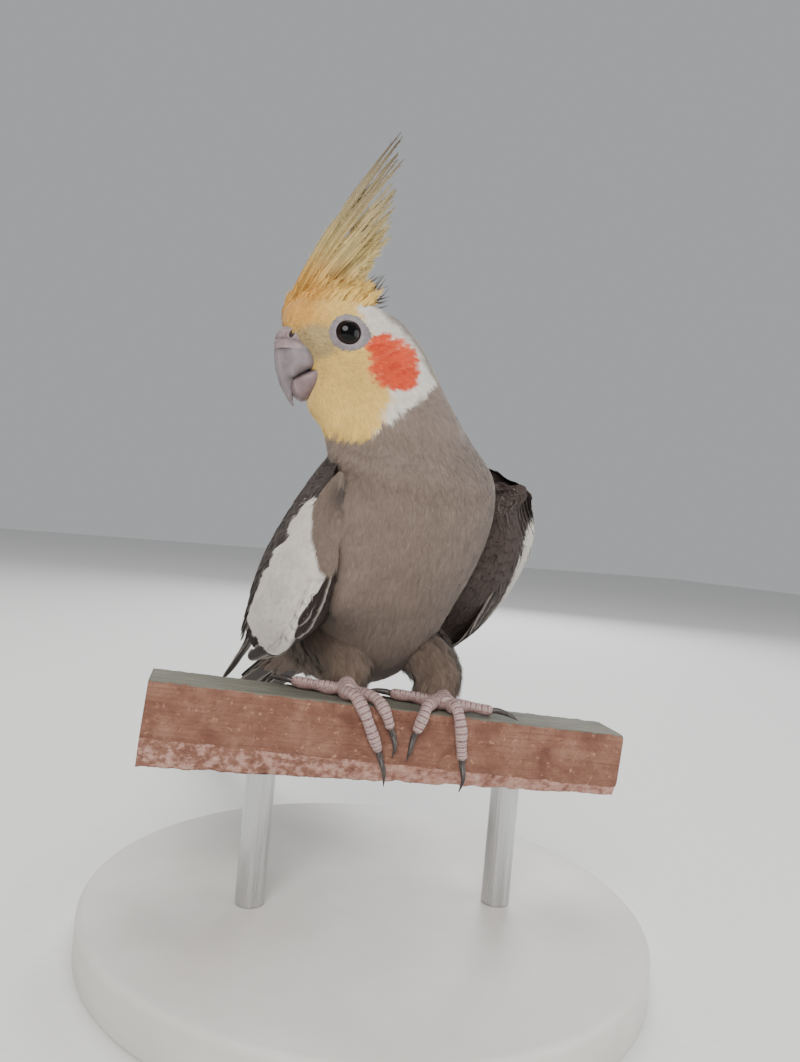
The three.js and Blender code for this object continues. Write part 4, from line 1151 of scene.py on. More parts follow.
class Plumage:
    """Gathers vanes into one mesh, each with its own rectangle of the unwrap."""

    def __init__(self):
        self.points, self.faces, self.local, self.vane, self.tint = [], [], [], [], []
        self.start = 0

    def add(self, vane, colour):
        """Takes a vane and its colour, one for all of it or one for each point."""
        points, faces, vane_uv, local = vane
        self.points.append(points)
        self.faces += [[i + self.start for i in face] for face in faces]
        self.start += len(points)
        self.vane.append(vane_uv)
        self.local.append(local)
        self.tint.append(even(colour, points))

    def build(self, name, material, slot, *nodes):
        """Makes the piece, which takes the place of the nodes."""
        tiles = math.ceil(math.sqrt(len(self.points)))
        flat = []
        for k, local in enumerate(self.local):
            corner = np.array([k % tiles, k // tiles])
            flat.append((local * TILE_FILLED + TILE_ORIGIN + corner) / tiles)
        add_mesh(name, np.concatenate(self.points), self.faces, material, uv=np.concatenate(flat),
                 vane_uv=np.concatenate(self.vane), vectors={"tint": np.concatenate(self.tint)}, slot=slot,
                 replaces=nodes)


WING_DARK = srgb(56, 47, 44)
WING_MID = srgb(74, 64, 60)
WING_EDGE = srgb(176, 166, 158)
WING_WHITE = srgb(226, 218, 210)

# Feather rows: kind, count, first and last root, first and last tip (along, across), first and last lift (at the
# root, at the tip), half widths, slant in degrees and outline
WING_ROWS = [
    ("primary", 9, [(3.9, .42), (3.2, .08)], [(6.15, .62), (8, .45)], [(-1.3, -2.6), (-1.5, -3.0)],
     (4.0, 3.5), 15, "long"),
    ("secondary", 8, [(3.7, .28), (3.6, .78)], [(5.5, .28), (5.95, .7)], [(-.9, -.2), (-.9, .1)],
     (4.4, 4.4), 11, "long"),
    ("tertial", 4, [(3.0, .82), (2.8, .97)], [(6.15, .8), (5.4, .97)], [(-.9, 1.0), (-.9, 1.3)],
     (5.0, 4.4), 12, "long"),
    ("greater", 18, [(2.7, -.04), (2.5, .92)], [(4.5, -.04), (4.3, .9)], [(-.35, .2), (-.35, .25)],
     (3.4, 3.4), 3, "round"),
    ("alula", 5, [(1.35, -.09), (2.3, -.105)], [(2.7, -.105), (3.6, -.09)], [(-.2, .3), (-.2, .6)],
     (1.5, 1.7), 4, "long"),
    ("alula", 4, [(2.5, -.06), (3.4, -.02)], [(4.2, -.08), (5.3, -.03)], [(-.6, -.1), (-.6, -.1)],
     (2.0, 2.2), 4, "long"),
]
COVERT_STARTS = [2.3, 2.0, 1.7, 1.4, 1.1, 0.82, 0.55, 0.28, 0.02, -0.22]
for row_start in COVERT_STARTS:
    row_reach = 1.15 + 0.3 * row_start / 2.15
    WING_ROWS.append(("covert", 18, [(row_start, -.04), (row_start - .05, .95)],
                      [(row_start + row_reach, -.04), (row_start + row_reach - .1, .95)],
                      [(-.25, .18), (-.25, .22)], (3.1, 3.1), 2, "round"))

# The white patch: its upper limit and, on each side, its lower limit across the wing, by the place along it
WHITE_TOP = [[0.4, 0.5, 0.62, 1.05, 1.43, 1.65, 1.95, 2.43, 2.7, 2.95, 3.3, 3.95, 4.6],
             [0.30, 0.36, 0.39, 0.37, 0.38, 0.28, 0.29, 0.34, 0.26, 0.30, 0.28, 0.26, 0.24]]
WHITE_LOW = {-1: [[0.5, 0.73, 1.0, 1.4, 1.7, 2.0, 4.6], [0.33, 0.16, 0.10, 0.05, -0.02, -0.2, -0.2]],
             1: [[0.45, 0.6, 0.8, 1.2, 4.6], [0.24, 0.16, 0.09, 0.04, 0.03]]}
WHITE_ENDS = {-1: (0.52, 4.7), 1: (0.5, 4.4)}


def white_patch(edges, along, across, jitter):
    """How white a place on the wing is: its lower coverts are, between dark shoulder and dark margin."""
    side = edges["side"]
    high = np.interp(along, *WHITE_TOP) + (0.10 if side > 0 else 0.0)
    low = np.interp(along, *WHITE_LOW[side])
    start, end = WHITE_ENDS[side]
    inside = (smooth_step(-0.02, 0.02, high + jitter - across)
              * smooth_step(-0.02, 0.02, across - low + jitter * 0.4))
    return inside * smooth_step(start - 0.08, start + 0.08, along + jitter) * smooth_step(end, end - 0.1, along)


def wing_colour(kind, edges, start, end, local, draw):
    """The colour of a wing feather, from where on the wing it lies."""
    t, u = np.abs(local[:, 0]), local[:, 1]
    along = start[0] + (end[0] - start[0]) * u
    across = start[1] + (end[1] - start[1]) * u + 0.035 * local[:, 0]
    jitter = draw.normal(0, 0.022)
    dark = WING_DARK * draw.normal(1, 0.07)
    if kind in ("primary", "secondary", "tertial"):
        rim = smooth_step(0.66, 0.92, t) * smooth_step(0.0, 0.4, u)
        tone = 1.1 if kind == "tertial" else 0.8
        return blend(dark * tone, WING_EDGE, (0.75 if kind == "primary" else 0.5) * rim)
    if kind == "alula":
        return blend(dark * 0.82, WING_EDGE, 0.85 * smooth_step(0.66, 0.92, t))
    colour = blend(dark, WING_MID, 0.45 * u)
    if kind == "front":
        line = smooth_step(0.8, 0.97, t) * (draw.random() < 0.12)
        return blend(colour * 1.4, WING_EDGE, 0.18 * line)
    shaft_streak = smooth_step(0.3, 0.0, t) * smooth_step(0.2, 0.6, u)
    colour = colour * (1 - 0.22 * shaft_streak)[:, None]
    colour = blend(colour, WING_EDGE, 0.16 * smooth_step(0.78, 1.0, np.maximum(t, u)))
    white = white_patch(edges, along, across, jitter)
    return blend(colour, WING_WHITE * draw.normal(1, 0.02), white)


# The web of small feathers between wing and body: places along the wing, on each side where the web's edge starts
# across the wing and how deep below its surface, and the direction of the body's outline as the photo shows it
WEB_STEPS = np.linspace(-2.8, 5.4, 48)
WEB_EDGE = {1: (0.0, 0.3), -1: (-0.08, 1.6)}
SEEN_SIDE = unit(np.array([0.9, -0.44, 0.0]))


def web_edge(edges, along):
    """The wing's lower edge and, above the wrist, its front edge up to the shoulder."""
    start, depth = WEB_EDGE[edges["side"]]
    beyond = np.clip(-0.3 - along, 0, 1.2) * (edges["side"] > 0)
    past = np.clip(-1.5 - along, 0, 1.3) * (edges["side"] > 0)
    along, across = np.maximum(along, -0.3) + past, start + 0.75 * beyond
    return wing_point(edges, along, across) - wing_normal(edges, along, across) * depth


def inner_point(edges, along, across):
    """The web of small feathers from the wing's lower edge at 0 to just inside the body at 1."""
    along, across = np.broadcast_arrays(np.asarray(along, float), np.asarray(across, float))
    place = np.clip(along, -2.8, 5.4)
    edge = web_edge(edges, place)
    foot = np.stack([np.interp(place, WEB_STEPS, WEB_FEET[edges["side"]][:, k]) for k in range(3)], -1)
    t = across[..., None]
    bulge = np.sin(math.pi * np.clip(across, 0, 1))[..., None] * np.array([0.0, -1.0, -0.2])
    return edge * (1 - t) + foot * t + bulge * (2.6 if edges["side"] > 0 else 0.6)


def web_feet(edges):
    """Where the web meets the body: on the left just inside its outline, on the right at the nearest place."""
    feet = []
    points = FACE_LEVEL.reshape(-1, 3)
    for along in WEB_STEPS:
        edge = web_edge(edges, np.array(along))
        nearest = np.array(skin_tree.find_nearest(Vector(edge))[0])
        outline = nearest
        if edges["side"] > 0:
            level = points[np.abs(points[:, 2] - edge[2]) < 1.6]
            outline = level[np.argmax(level @ SEEN_SIDE)] - SEEN_SIDE * 1.5
        far = float(smooth_step(2.4, 3.8, along))
        feet.append(outline * (1 - far) + nearest * far)
    feet = np.array(feet)
    for _ in range(6):
        feet[1:-1] = (feet[:-2] + feet[1:-1] * 2 + feet[2:]) / 4
    return feet


WEB_FEET = {edges["side"]: web_feet(edges) for edges in WINGS.values()}


def inner_normal(edges, along, across):
    """The web's normal, on the side that shows."""
    normal = surface_cross(inner_point, edges, along, across, 0.03)
    outward = dot(normal, np.array([0.2 * edges["side"], -1.0, -0.4]))
    return normal * np.sign(outward)[..., None]


WEB_ROWS = np.arange(3.9, -2.75, -0.35)
WEB_ROW_COUNT = 7


def wing_core(edges):
    """The fleshy forepart that the coverts lie on, just inside the solid one."""
    across_out = np.array([0.02, 0.08, 0.16, 0.26, 0.36, 0.48, 0.6, 0.72, 0.84, 0.93, 0.99])
    across_in = np.array([0.9, 0.75, 0.6, 0.45, 0.3, 0.15])
    rings = []
    for along in np.linspace(*WING_CORE_SPAN, 28):
        thickness = float(spline(WING_CORE_THICKNESS, along))
        out = wing_point(edges, along, across_out) - wing_normal(edges, along, across_out) * 0.35
        deep = thickness * np.sin(math.pi * across_in) ** 0.6
        inner = wing_point(edges, along, across_in) - wing_normal(edges, along, across_in) * deep[:, None]
        rings.append(np.concatenate([out, inner]))
    return loft(rings)


def lay_feather(surface, facing, edges, start, end, lift, rows):
    """The line of a feather over a surface, its sideways direction and the surface's normals."""
    u = np.linspace(0, 1, rows)
    along, across = start[0] + (end[0] - start[0]) * u, start[1] + (end[1] - start[1]) * u
    normal = facing(edges, along, across)
    centre = surface(edges, along, across) + normal * (lift[0] + (lift[1] - lift[0]) * u)[:, None]
    ahead = unit(np.gradient(centre, axis=0))
    side = unit(np.cross(normal, ahead)) * edges["side"]
    return u, centre, side, normal


def between(ends, t):
    """A pair of numbers between two pairs."""
    return [ends[0][i] * (1 - t) + ends[1][i] * t for i in (0, 1)]


COVERT_VANE = {"columns": 7, "thickness": 0.045, "camber": 0.025,
               "barbs": 30, "barb_length": 1.5, "shaft_height": 0.04}
FLIGHT_VANE = {"columns": 9, "thickness": 0.16, "camber": 0.08,
               "barbs": 14, "barb_length": 1.1, "shaft_height": 0.12}
WEB_VANE = {"columns": 7, "thickness": 0.06, "camber": 0.02,
            "barbs": 12, "barb_length": 1.0, "shaft_height": 0.04}


def make_wing(name, edges, material, core_material):
    """A wing's feathers in rows over its core, and the web of small ones between it and the body."""
    draw = np.random.default_rng(SEED + (5 if edges["side"] > 0 else 6))
    plumage = Plumage()
    for kind, count, roots, tips, lifts, widths, slant, outline in WING_ROWS:
        covert = kind in ("covert", "greater")
        flight = kind in ("primary", "secondary")
        steps = np.linspace(0, 1, 60)
        middle = (roots[0][0] + tips[0][0]) / 2
        line = wing_point(edges, middle, roots[0][1] + (roots[1][1] - roots[0][1]) * steps)
        walked = np.concatenate([[0], np.cumsum(np.linalg.norm(np.diff(line, axis=0), axis=1))])
        for k in range(count):
            t = k / (count - 1)
            if covert:
                t = float(np.interp(t, walked / walked[-1], steps))
            loose = (0, 0) if flight else draw.normal(0, 1, 2) * np.array([0.03, 0.012])
            start = between(roots, t)
            end = [value + move for value, move in zip(between(tips, t), loose)]
            lift = [value + (0 if flight else draw.normal(0, 0.06)) for value in between(lifts, t)]
            u, centre, side, normal = lay_feather(wing_point, wing_normal, edges, start, end, lift,
                                                  26 if outline == "long" else 14)
            side = unit(side - normal * math.tan(math.radians(slant)))
            half = (widths[0] * (1 - t) + widths[1] * t) * vane_outline(u, outline)
            vane = build_vane(centre, side, normal, half, half, draw,
                              **(COVERT_VANE if covert else FLIGHT_VANE))
            plumage.add(vane, wing_colour(kind, edges, start, end, vane[3], draw))
    for begin in WEB_ROWS:
        for k in range(WEB_ROW_COUNT):
            across = 0.22 + 0.76 * k / (WEB_ROW_COUNT - 1) + draw.normal(0, 0.025)
            loose = draw.normal(0, 0.1, 2)
            start, end = (begin + loose[0], across), (begin + 1 + loose[1], across)
            u, centre, side, normal = lay_feather(inner_point, inner_normal, edges, start, end, (-0.3, 0.4), 14)
            half = 2.2 * vane_outline(u, "round")
            vane = build_vane(centre, side, normal, half, half, draw, **WEB_VANE)
            plumage.add(vane, wing_colour("front", edges, start, end, vane[3], draw))
    plumage.build(f"wing_feathers_{name}", material, "wing_feathers", f"wing_{name}")
    points, faces = wing_core(edges)
    add_mesh(f"wing_core_{name}", points, faces, core_material, vectors={"tint": even(WING_DARK * 0.9, points)},
             slot="wing_feathers")


# The tail. Of each pair of feathers, from the middle out: length, spread in degrees, reach outwards and inwards
TAIL_PITCH = math.radians(26)
TAIL_ROOT = np.array([0, 71.6, PERCH_TOP + 7.8])
TAIL_LENGTHS = [150, 133, 116, 99, 82, 66]
TAIL_FAN = [0.6, 1.3, 2.1, 2.9, 3.8, 4.8]
TAIL_OUTER = [5.2, 4, 3.8, 3.6, 3.4, 3.2]
TAIL_INNER = [5.2, 5.6, 5.6, 5.4, 5, 4.6]
TAIL_LAYER = 0.95
TAIL_COVERTS = 7
TAIL_BACK = np.array([0, math.cos(TAIL_PITCH), -math.sin(TAIL_PITCH)])
TAIL_UP = np.array([0, math.sin(TAIL_PITCH), math.cos(TAIL_PITCH)])
TAIL_DARK, TAIL_MID = srgb(70, 63, 60), srgb(112, 103, 97)
# Rings of the tail's core: how far back, half width, reach up and down
TAIL_CORE = [(-6, 8.6, 5.6, 5.8), (0, 8.3, 5.4, 5.7), (6, 7.8, 4.2, 5.6), (12, 7, 2.6, 5), (17, 6.2, 1.2, 4.2),
             (21, 5, 0.2, 2.6)]


def tail_point(side, back, rise):
    """A place from the tail's own frame."""
    side, back, rise = (np.asarray(v, float)[..., None] for v in (side, back, rise))
    return TAIL_ROOT + X_AXIS * side + TAIL_BACK * back + TAIL_UP * rise


def tail_vane(side, fan, start, length, rises, outer, inner, outline, rows, draw):
    """A straight vane that spreads by an angle in degrees."""
    angle = side * math.radians(fan)
    lean = np.array([math.sin(angle), 0, 0]) + TAIL_BACK * math.cos(angle)
    across = unit(np.cross(lean, TAIL_UP))
    u = np.linspace(0, 1, rows)
    centre = tail_point(start[0], start[1], rises[0] + (rises[1] - rises[0]) * u) + lean * (length * u)[:, None]
    half = vane_outline(u, outline)
    ones = np.ones((rows, 1))
    left, right = (outer, inner) if side < 0 else (inner, outer)
    return build_vane(centre, across * ones, TAIL_UP * ones, left * half, right * half, draw, columns=9,
                      camber=0.05, splits=3, barbs=24, barb_length=1.1)


def make_tail(material, core_material):
    """The long feathers in pairs, the short ones over and under their roots, and the core."""
    draw = np.random.default_rng(SEED + 9)
    plumage = Plumage()
    for k, length in enumerate(TAIL_LENGTHS):
        for side in (-1, 1):
            rise = (0.6 - TAIL_LAYER * k - (TAIL_LAYER * 0.5 if side < 0 else 0)
                    - (TAIL_LAYER * 0.5 if k > 0 else 0))
            start = (side * (1.2 + 0.55 * k), 3)
            vane = tail_vane(side, TAIL_FAN[k], start, length - 3, (rise, rise), TAIL_OUTER[k], TAIL_INNER[k],
                             "long", 44, draw)
            t, u = vane[3].T
            colour = blend((TAIL_MID if k == 0 else TAIL_DARK) * draw.normal(1, 0.05), TAIL_DARK, 0.6 * u)
            plumage.add(vane, blend(colour, WING_EDGE, 0.65 * smooth_step(0.74, 0.95, np.abs(t))))
    for k in range(TAIL_COVERTS):
        place = (k - (TAIL_COVERTS - 1) / 2) * 0.5
        layer = 0.7 * (k % 2)
        for root, tip in ((3.4, 1.9 + layer), (-4.8, -6.1 - layer)):
            vane = tail_vane(1, place * 4.2, (place * 4.2, 0), 31 - 5 * abs(place), (root, tip), 3.0, 3.0,
                             "round", 16, draw)
            plumage.add(vane, (TAUPE_LOW if tip > 0 else FLANK) * draw.normal(1, 0.06))
    plumage.build("tail_feathers", material, "tail_feathers", "tail")
    points, faces = loft([ring(tail_point(0, back, 0), X_AXIS, TAIL_UP, [half, half, top, low], 24)
                          for back, half, top, low in TAIL_CORE])
    add_mesh("tail_root", points, faces, core_material, vectors={"tint": even(FLANK, points)},
             slot="tail_feathers")


# The crest, in places forward of the eye and up from it: its roots from front to rear, and the line of its tips
CREST_ROOT_F = [15.8, -5]
CREST_ROOT_UP = [5.0, 7.4]
CREST_TIPS = [[-11.8, 60], [-11.6, 50.5], [-11.5, 41], [-10.4, 33.5], [-8.5, 27], [-6.6, 22], [-5, 18], [-5, 14],
              [-6, 10.5]]
CREST_BULGE = 6.8
CREST_DROP = 6.0
CREST_LOW, CREST_MID = srgb(218, 168, 88), srgb(204, 180, 122)
CREST_HIGH, CREST_END = srgb(170, 154, 120), srgb(112, 97, 80)
CREST_WISP = srgb(96, 84, 70)
TALL_PLUMES, WISPS, SIDE_PLUMES, CROWN_TRIES = 54, 26, 150, 360


def crest_colour(place, draw):
    """Orange-yellow at the base, then pale olive yellow, then grey-brown tips."""
    f, _, height = head_coords(place)
    colour = blend(CREST_LOW, CREST_MID, smooth_step(8, 22, height - 0.4 * f))
    colour = blend(colour, CREST_HIGH, smooth_step(22, 42, height))
    return blend(colour, CREST_END, smooth_step(40, 58, height)) * draw.normal(1, 0.06)


def crest_vane(root, tip, bulge, half_width, barbs, barb_length, draw, rows=28, drop=0.0):
    """A narrow pointed vane along an arc, turned at random about its own length."""
    bend = (root + tip) / 2 + HEAD_FORWARD * bulge - UP * drop
    u = np.linspace(0, 1, rows)[:, None]
    centre = root * (1 - u) ** 2 + bend * 2 * u * (1 - u) + tip * u * u
    ahead = unit(np.gradient(centre, axis=0))
    angle = math.radians(draw.choice([-1, 1]) * draw.uniform(40, 75))
    across = unit(HEAD_LEFT * math.cos(angle) + np.cross(ahead, HEAD_LEFT) * math.sin(angle))
    normal = unit(np.cross(ahead, across))
    half = half_width * vane_outline(u[:, 0], "point")
    return build_vane(centre, across, normal, half, half, draw, columns=5, camber=0.14, thickness=0.12, splits=4,
                      barbs=barbs, barb_length=barb_length)


def tall_plumes(plumage, draw):
    """The raised plumes, longest at the front."""
    for k in range(TALL_PLUMES):
        t = (k + 0.5) / TALL_PLUMES
        lane = draw.uniform(-1.9, 1.9) * (1 - 0.3 * t)
        root_f = CREST_ROOT_F[0] + (CREST_ROOT_F[1] - CREST_ROOT_F[0]) * t + draw.normal(0, 0.3)
        root_up = CREST_ROOT_UP[0] + (CREST_ROOT_UP[1] - CREST_ROOT_UP[0]) * min(t * 4, 1)
        tip_f, rise = spline(CREST_TIPS, t * (len(CREST_TIPS) - 1))
        rise *= draw.uniform(0.88, 1.02) if k > 2 else 1.0
        root = head_point(root_f, lane, root_up - 0.8)
        tip = head_point(tip_f + draw.normal(0, 0.5), lane * 0.35 + draw.normal(0, 0.25), rise)
        width = draw.uniform(1.1, 1.6) if k > 2 else 0.9
        ease = (1 - t) ** 1.2
        vane = crest_vane(root, tip, CREST_BULGE * ease, width, 52, 2.4, draw, drop=CREST_DROP * ease)
        plumage.add(vane, crest_colour(vane[0], draw))


def dark_wisps(plumage, draw):
    """Thin dark ends among the plumes at the rear."""
    for _ in range(WISPS):
        t = draw.uniform(0.35, 1.0)
        root = head_point(CREST_ROOT_F[0] * (1 - t) - 5 * t, draw.uniform(-1.6, 1.6), 7.0)
        rise = draw.uniform(10.5, 19.0)
        tip = head_point(-7.5 - draw.uniform(0.5, 5.0), draw.uniform(-2, 2), rise)
        plumage.add(crest_vane(root, tip, -1.5, 0.2, 0, 1.0, draw, rows=16), CREST_WISP * draw.normal(1, 0.15))


def side_plumes(plumage, draw):
    """Short plumes on both sides of the crest's foot."""
    for _ in range(SIDE_PLUMES):
        f = draw.uniform(-5, 16.2)
        side = draw.choice([-1, 1])
        low = 3.5 if f > 12 else 6.2
        root = head_point(f, side * draw.uniform(1.5, 5.2) * (1 - 0.4 * (f > 11)), low - draw.uniform(0.3, 2.0))
        tip = (root + UP * draw.uniform(4.5, 10.5) - HEAD_FORWARD * draw.uniform(2.5, 5.5)
               - HEAD_LEFT * side * draw.uniform(0.8, 2.6))
        vane = crest_vane(root, tip, 1.2, draw.uniform(0.6, 1.1), 30, 1.7, draw, rows=14)
        plumage.add(vane, blend(crest_colour(vane[0], draw), YELLOW,
                                0.35 * smooth_step(12, 2, head_coords(vane[0])[0])))


def crown_plumes(plumage, draw):
    """The smallest plumes, raised from the crown itself, where it is high enough."""
    for _ in range(CROWN_TRIES):
        f, l = draw.uniform(-5, 15.5), draw.uniform(-7.8, 7.8)
        hit = skin_tree.ray_cast(Vector(head_point(f, l, 40)), Vector(-UP))[0]
        height = head_coords(np.array(hit))[2] if hit is not None else 0
        if height < 4.2 + 0.12 * max(0, f - 8):
            continue
        root = np.array(hit) - UP * 0.5
        reach = draw.uniform(0.75, 1.3)
        sweep = (UP * 5.2 - HEAD_FORWARD * 3.6 - HEAD_LEFT * l * draw.uniform(0.25, 0.5)) * reach
        vane = crest_vane(root, root + sweep, 0.8, draw.uniform(0.5, 0.85), 18, 1.1, draw, rows=10)
        plumage.add(vane, blend(YELLOW, FOREHEAD, float(smooth_step(3, 13, f))) * draw.normal(1.08, 0.05))


def make_crest(material):
    """The raised crest: tall plumes, and shorter ones round their feet."""
    draw = np.random.default_rng(SEED + 21)
    plumage = Plumage()
    for plumes in (tall_plumes, dark_wisps, side_plumes, crown_plumes):
        plumes(plumage, draw)
    plumage.build("crest_feathers", material, "crest_feathers", "crest")


# Eyes, lids, bill and cere

# Slices of the bill and the cere: height from the middle of the head, rear, front and half width. The nostril's
# place: forward, sideways and up
CERE = [[0.6, 11, 15.8, 3.4], [-1.6, 8, 17.4, 4.9], [-3.9, 6.4, 17.9, 5.6], [-6.0, 6.4, 17.7, 5.8]]
BILL_UPPER = [[-3.5, 4.6, 16.6, 5.1], [-6, 4.4, 17.7, 5.9], [-9, 5, 17.4, 5.9], [-11, 8.2, 17.0, 5.1],
              [-13, 10.9, 16.3, 4.0], [-15, 11.7, 15.5, 2.9], [-17, 11.8, 14.3, 1.9], [-19, 11.5, 12.9, 1.1],
              [-20.4, 11.1, 11.7, 0.4]]
BILL_LOWER = [[-8.6, 2, 5, 4.4], [-10.5, 2, 8, 5.1], [-13, 2.6, 12.2, 5.1], [-15.2, 4, 12.7, 4.6],
              [-17, 5.8, 12.1, 3.7], [-18.3, 7.4, 10.8, 2.4], [-18.9, 8.6, 9.8, 1]]
NOSTRIL = [14, 3.3, -2.2]


def sphere(centre, radius, axis, rings=40, sides=64):
    """A ball whose poles lie on an axis, so that a pattern can be centred there."""
    axis = unit(np.asarray(axis, float))
    first = unit(np.cross(axis, UP))
    second = np.cross(axis, first)
    return loft([ring(centre + axis * radius * math.cos(a), first, second, [radius * math.sin(a)] * 4, sides)
                 for a in np.linspace(0.001, math.pi - 0.001, rings)])


def make_eyes():
    """Two balls whose pattern is centred on the pupil."""
    material = eye_material()
    for name, side in (("left", 1), ("right", -1)):
        centre = head_point(0.0, side * EYE_SIDE, EYE_UP)
        points, faces = sphere(centre, EYE_RADIUS, HEAD_LEFT * side)
        facing = (points - centre) @ (HEAD_LEFT * side) / EYE_RADIUS
        off_axis = np.sqrt(np.clip(1 - facing ** 2, 0, 1))
        iris = np.stack([off_axis, facing, 0 * facing], -1)
        add_mesh(f"eyeball_{name}", points, faces, material, vectors={"iris": iris}, slot="eye",
                 replaces=(f"eye_{name}",))


def skin_height(f, h, side):
    """How far out the face lies at a place on the side of the head."""
    origin = head_point(f, side * 40.0, h)
    hit = skin_tree.ray_cast(Vector(origin), Vector(-HEAD_LEFT * side))[0]
    return float(np.dot(np.array(hit) - HEAD_AT, HEAD_LEFT) * side) if hit is not None else 8.0


# The eye ring's profile from the eyeball out: distance from the pupil, and height over the face
LID_SIDES = 96
LID_RADII = np.array([3.0, 3.12, 3.25, 3.4, 3.6, 3.85, 4.1, 4.4, 4.7, 5.0, 5.3, 5.7, 6.2])
LID_RISE = np.array([-1.2, -0.35, 0.2, 0.45, 0.58, 0.52, 0.36, 0.42, 0.30, 0.24, 0.12, -0.05, -0.35])


def make_lids():
    """The bare ring round each eye, with a thick rim and fine folds."""
    material = lid_material()
    angles = np.arange(LID_SIDES) * 2 * math.pi / LID_SIDES
    for name, side in (("left", 1), ("right", -1)):
        base = skin_height(0.0, EYE_UP, side)
        rings, tints = [], []
        for radius, out in zip(LID_RADII, LID_RISE):
            far = smooth_step(3.2, 5.0, radius)
            stretch = 1 + far * 0.12 * np.maximum(0, -np.cos(angles)) ** 5
            flat = 1 - 0.07 * (1 - far) * np.abs(np.sin(angles))
            f = radius * stretch * np.cos(angles)
            h = EYE_UP + radius * flat * np.sin(angles) * (1 - 0.04 * far)
            local = np.array([skin_height(a, b, side) for a, b in zip(f, h)])
            height = base * (1 - far) + local * far
            folds = 0.06 * np.sin(angles * 29 + radius * 9) * smooth_step(3.3, 3.8, radius)
            rings.append(head_point(f, side * (height + out + folds), h))
            dark_rim = 1 - 0.72 * smooth_step(3.3, 3.05, radius)
            pale = 1 + 0.10 * math.exp(-((radius - 3.6) / 0.3) ** 2)
            tints.append(np.full((LID_SIDES, 3), dark_rim * pale) * (1 - 0.16 * smooth_step(4.2, 5.4, radius)))
        faces = grid_faces(len(LID_RADII), LID_SIDES)[:, ::side]
        add_mesh(f"eyelid_{name}", np.concatenate(rings), faces, material,
                 vectors={"tint": np.concatenate(tints)}, slot="face_feathers")


def bill_loft(slices, steps, sides, extra=None):
    """A solid through slices of the head, with a change made to its rings."""
    slices = np.array(slices, float)
    place = np.linspace(0, len(slices) - 1, steps)
    rise, rear, front, half = spline(slices, place).T
    reach = np.maximum((front - rear) / 2, 0.05)
    centre = head_point((rear + front) / 2, 0 * rear, rise)
    rows = len(rise)
    rings = ring(centre, np.tile(HEAD_FORWARD, (rows, 1)), np.tile(HEAD_LEFT, (rows, 1)),
                 [reach, reach, np.maximum(half, 0.05), np.maximum(half, 0.05)], sides, 0.9)
    return loft(extra(rings) if extra else rings)


def keeled(rings):
    """The bill narrows to a soft ridge along its front."""
    f, l, h = head_coords(rings)
    front = f.max(axis=1, keepdims=True)
    near_ridge = smooth_step(5.0, 0.0, front - f)
    squeeze = 1 - 0.22 * near_ridge * smooth_step(-2, -9, h)
    return rings + HEAD_LEFT * (l * (squeeze - 1))[..., None]


def dented(rings):
    """Nostril hollows with a raised rim on the cere."""
    f, l, h = head_coords(rings)
    for side in (-1, 1):
        away = nostril_distance(f, h)
        dent = -0.8 * np.exp(-away ** 4) + 0.34 * np.exp(-((away - 1.9) / 0.7) ** 2)
        rings = rings + HEAD_LEFT * (side * dent * (l * side > 1.0))[..., None]
    lumpy = wave_noise(rings, 3.0, 31)[..., None]
    fold = -0.35 * np.exp(-((h + 3.9 - 0.12 * (f - 12)) / 0.45) ** 2)[..., None]
    centre = rings.mean(1, keepdims=True)
    return rings + unit(rings - centre) * (lumpy * 0.16 + fold)


def nostril_distance(f, h):
    """Distance from the nostril's upright slot, 1 at its edge."""
    across, up = (f - NOSTRIL[0]) / 0.55, (h - NOSTRIL[2]) / 0.95
    return np.hypot(across + 0.35 * up, up)


def cere_shade(points):
    """Painted shade in the nostrils and along the fold."""
    f, l, h = head_coords(points)
    hollow = smooth_step(1.35, 0.8, nostril_distance(f, h)) * (np.abs(l) > 1)
    fold = 0.3 * np.exp(-((h + 3.9 - 0.12 * (f - 12)) / 0.4) ** 2)
    return np.repeat(np.clip(1 - 0.88 * hollow - fold, 0.05, 1)[:, None], 3, axis=1)


def bill_shade(points):
    """Painted shade where the two halves meet and under the cere, and darker towards the hook."""
    f, _, h = head_coords(points)
    # Painted shade along the mouth line between the two halves, and just under the cere
    meet = np.interp(f, [5, 9, 12, 14, 18], [-9.0, -11.6, -13.4, -13.6, -13.6])
    crease_shade = np.exp(-((h - meet) / 0.55) ** 2) * smooth_step(14.5, 12.0, f)
    shade_under_cere = np.exp(-((h + 6.2) / 0.7) ** 2) * 0.25
    shade = 1 - 0.75 * crease_shade - shade_under_cere - 0.12 * smooth_step(-15, -20, h)
    return np.repeat(np.clip(shade, 0.2, 1)[:, None], 3, axis=1)


def make_bill():
    """The two halves of the bill and the cere."""
    upper_horn = horn_material("bill_upper_horn", [(96, 86, 90), (124, 112, 116), (152, 141, 145)])
    lower_horn = horn_material("bill_lower_horn", [(102, 84, 86), (130, 110, 112), (155, 136, 138)])
    upper, lower = bill_loft(BILL_UPPER, 90, 72, keeled), bill_loft(BILL_LOWER, 60, 72)
    cere = bill_loft(CERE, 70, 120, dented)
    # Each piece's tint is painted shade: along the mouth line and under the cere on the bill, in the nostrils and
    # along the fold on the cere
    for name, node, solid, material, tint, slot in (
            ("bill_upper_horn", "bill_upper", upper, upper_horn, bill_shade, "bill_horn"),
            ("bill_lower_horn", "bill_lower", lower, lower_horn, bill_shade, "bill_horn"),
            ("cere_detail", "cere", cere, cere_material(), cere_shade, "cere_skin")):
        add_mesh(name, *solid, material, vectors={"tint": tint(solid[0])}, slot=slot, replaces=(node,))


# Perch, feet and stand

PERCH_CENTRE_Y = -6.0
PERCH_LENGTH = 132.0
PERCH_DEPTH = 18.0
PERCH_FACE = 15.0
PERCH_TILT = math.radians(4)
PERCH_HEADING = math.radians(-14)
